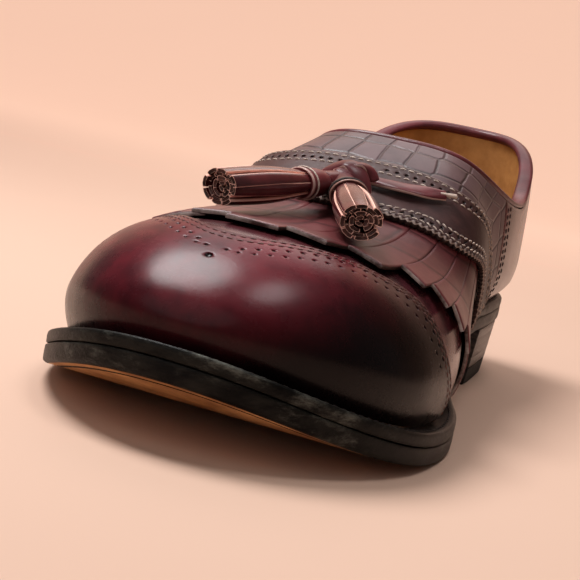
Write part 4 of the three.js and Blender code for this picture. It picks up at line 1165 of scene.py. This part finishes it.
def tassel(name, end, ring_thread, turns_of_thread, cap_leather):
    form = Form()
    axis = unit(end - knot_o)
    start = knot_o + axis * (NECK_LENGTH + GAP)
    side = unit(np.cross(axis, knot_z))
    up = np.cross(side, axis)
    flat_up, flat_side = 0.90, 1.06

    def ring(distance, radius, a):
        a = np.asarray(a)
        return (start + axis * np.asarray(distance)[..., None]
                + side * (radius * np.cos(a) * flat_side)[..., None] + up * (radius * np.sin(a) * flat_up)[..., None])

    a = np.linspace(0, 2 * np.pi, 49)[:-1]
    # distance along, radius and rim of the collar, which has a seam down one side
    collar = [(0.0, 0.5, FAR), (0.0, 2.8, FAR), (0.4, 3.7, FAR), (1.6, 4.35, FAR), (4.0, 4.8, FAR), (7.0, 5.0, FAR),
              (9.2, 5.15, FAR), (10.0, 5.35, 0.3), (10.5, 5.35, 0.1), (10.75, 5.0, 0.3), (10.6, 4.3, FAR), (9.0, 3.9, FAR)]
    uneven = 0.10 * np.cos(2 * a + 1.0) + 0.25 * np.exp(-((a - 4.4) / 0.09) ** 2)
    rows = np.stack([ring(np.full(len(a), d), r + uneven * min(1, d / 2), a) for d, r, _ in collar])
    collar_rim = np.array([c[2] for c in collar])[:, None] + 0 * a
    form.grid(rows, slot=3, ring=True, rim=collar_rim,
              uv=np.stack(np.broadcast_arrays(np.array([c[0] for c in collar])[:, None], a[None] * 5), -1))
    for turn in range(turns_of_thread):
        b = np.linspace(0, 2 * np.pi, 9)[:-1]
        d = 8.3 + turn * 0.60 + 0.30 * np.sin(b)[None] + 0 * a[:, None]
        r = 5.25 + 0.30 * np.cos(b)[None] + 0 * a[:, None]
        form.grid(ring(d, r, a[:, None] + 0 * b[None]), slot=1, loop=True, ring=True, flip=True, rim=0.0)
    # strips in four layers, their cut edges painted bright as highlights: number, radius, length, thickness, fill,
    # phase
    layers = [(8, 6.0, 35.0, 1.15, 0.93, 0.0), (7, 4.6, 34.4, 1.1, 0.90, 0.35), (5, 3.2, 34.0, 1.1, 0.88, 0.1),
              (3, 1.8, 33.6, 1.1, 0.80, 0.6)]
    # round one strip: place across, place through, and distance from its cut edge
    corner = np.array([-1, -1, -0.97, -0.86, -0.4, 0.4, 0.86, 0.97, 1, 1, 0.96, 0.5, 0, -0.5, -0.96])
    depth = np.array([1, 0.35, 0.10, 0.02, -0.05, -0.05, 0.02, 0.10, 0.35, 1, 1.0, 1.0, 1.0, 1.0, 1.0])
    edge_rim = np.array([0.3, 0, 0, 0.33, FAR, FAR, 0.33, 0, 0, 0.3, FAR, FAR, FAR, FAR, FAR])
    for layer, (number, radius, length, thick, fill, phase) in enumerate(layers):
        for i in range(number):
            wobble = math.sin(i * 2.7 + layer * 1.9)
            t = np.linspace(0, 1, 26)
            centre = 2 * np.pi * (i + phase) / number + 0.05 * wobble
            neck = np.sin(np.clip(t * 1.6, 0, 1) * QUARTER)
            reach_out = radius * mix(0.70, 1.0, neck) - 0.45 * t ** 4 * (layer == 0) + 0.20 * wobble * t ** 2
            spread = fill * np.pi / number * mix(0.97, 1.0, t)
            angle = centre + corner[None] * spread[:, None] + 0.10 * wobble * t[:, None] ** 2
            r = reach_out[:, None] - depth[None] * thick
            d = STRIP_START + t * (length - 0.8 * abs(wobble))
            p = ring(d[:, None] + 0 * r, r, angle)
            form.grid(p, slot=0, ring=True, rim=np.broadcast_to(edge_rim, r.shape))
            tip = p[-1]
            middle = tip.mean(0)
            form.grid(np.stack([tip, mix(tip, middle, 0.12)]), slot=0, ring=True, rim=0.15)
            face = [mix(tip, middle, 0.12), mix(tip, middle, 0.5) - axis * 0.25, mix(tip, middle, 0.98) - axis * 0.35]
            form.grid(np.stack(face), slot=2, ring=True)
    return form.piece(name + "_leather", [tassel_leather, ring_thread, strip_end, cap_leather], "tassel", name)


tassel("tassel_lateral", ends["tassel_lateral"], tassel_thread, 1, lace_leather)
tassel("tassel_medial", ends["tassel_medial"], dark_thread, 2, collar_leather)

# Floor, backdrop and light. The backdrop glows a little at its left, behind the shoe: painted light given off by the
# floor material itself.
floor_material, tree, shader = nodes_of("floor_paint_and_glow")
place = tree.nodes.new("ShaderNodeTexCoord").outputs["Object"]
grad = noise(tree, place, 3.0, 3.0)
paint = mix_colour(tree, grad, (0.56, 0.365, 0.275), (0.60, 0.40, 0.305))
tree.links.new(paint, shader.inputs["Base Color"])
axes = tree.nodes.new("ShaderNodeSeparateXYZ")
tree.links.new(place, axes.inputs[0])
glow = math_node(tree, "MULTIPLY", band(tree, axes.outputs[1], 0.10, 1.3),
                 math_node(tree, "SUBTRACT", 1.0, band(tree, axes.outputs[0], -0.1, 0.9)))
shader.inputs["Emission Color"].default_value = (0.88, 0.575, 0.44, 1)
tree.links.new(math_node(tree, "MULTIPLY", glow, 0.80), shader.inputs["Emission Strength"])
shader.inputs["Roughness"].default_value = 0.85
mesh = bpy.data.meshes.new("floor")
depth = np.concatenate([np.linspace(-1.6, 1.4, 8), 1.4 + 1.2 * np.sin(np.linspace(0, QUARTER, 14))[1:], [2.6, 2.6]])
height = np.concatenate([np.zeros(8), 1.2 * (1 - np.cos(np.linspace(0, QUARTER, 14)))[1:], [2.0, 3.2]])
width = np.linspace(-3, 3, 5)
verts = [(x, y, z) for y, z in zip(depth, height) for x in width]
faces = [(i * 5 + j, i * 5 + j + 1, i * 5 + j + 6, i * 5 + j + 5) for i in range(len(depth) - 1) for j in range(4)]
mesh.from_pydata(verts, [], faces)
mesh.polygons.foreach_set("use_smooth", np.ones(len(faces), bool))
mesh.materials.append(floor_material)
floor = bpy.data.objects.new("floor", mesh)
bpy.context.scene.collection.objects.link(floor)

world = bpy.data.worlds.new("world")
world.use_nodes = True
world.node_tree.nodes["Background"].inputs[0].default_value = (1.0, 0.90, 0.84, 1)
world.node_tree.nodes["Background"].inputs[1].default_value = 0.16
bpy.context.scene.world = world


def lamp(name, place, target, size, power):
    data = bpy.data.lights.new(name, "AREA")
    data.shape = "DISK"
    data.size = size
    data.energy = power
    obj = bpy.data.objects.new(name, data)
    place, target = np.array(place, float), np.array(target, float)
    back = unit(place - target)
    right = unit(np.cross([0, 0, 1.0], back))
    up = np.cross(back, right)
    obj.matrix_world = Matrix([[*row, p] for row, p in zip(np.array([right, up, back]).T, place)] + [[0, 0, 0, 1]])
    bpy.context.scene.collection.objects.link(obj)


lamp("key", (-0.375, 0.036, 0.843), (0, -0.13, 0.04), 0.44, 10.0)
lamp("second", (0.151, -0.010, 0.925), (0.02, -0.13, 0.04), 0.26, 2.2)
lamp("back", (-0.20, 0.62, 0.78), (0, 0, 0.06), 0.60, 1.4)
lamp("front", (-0.6, -2.0, 1.5), (0, -0.1, 0.04), 3.0, 17.0)
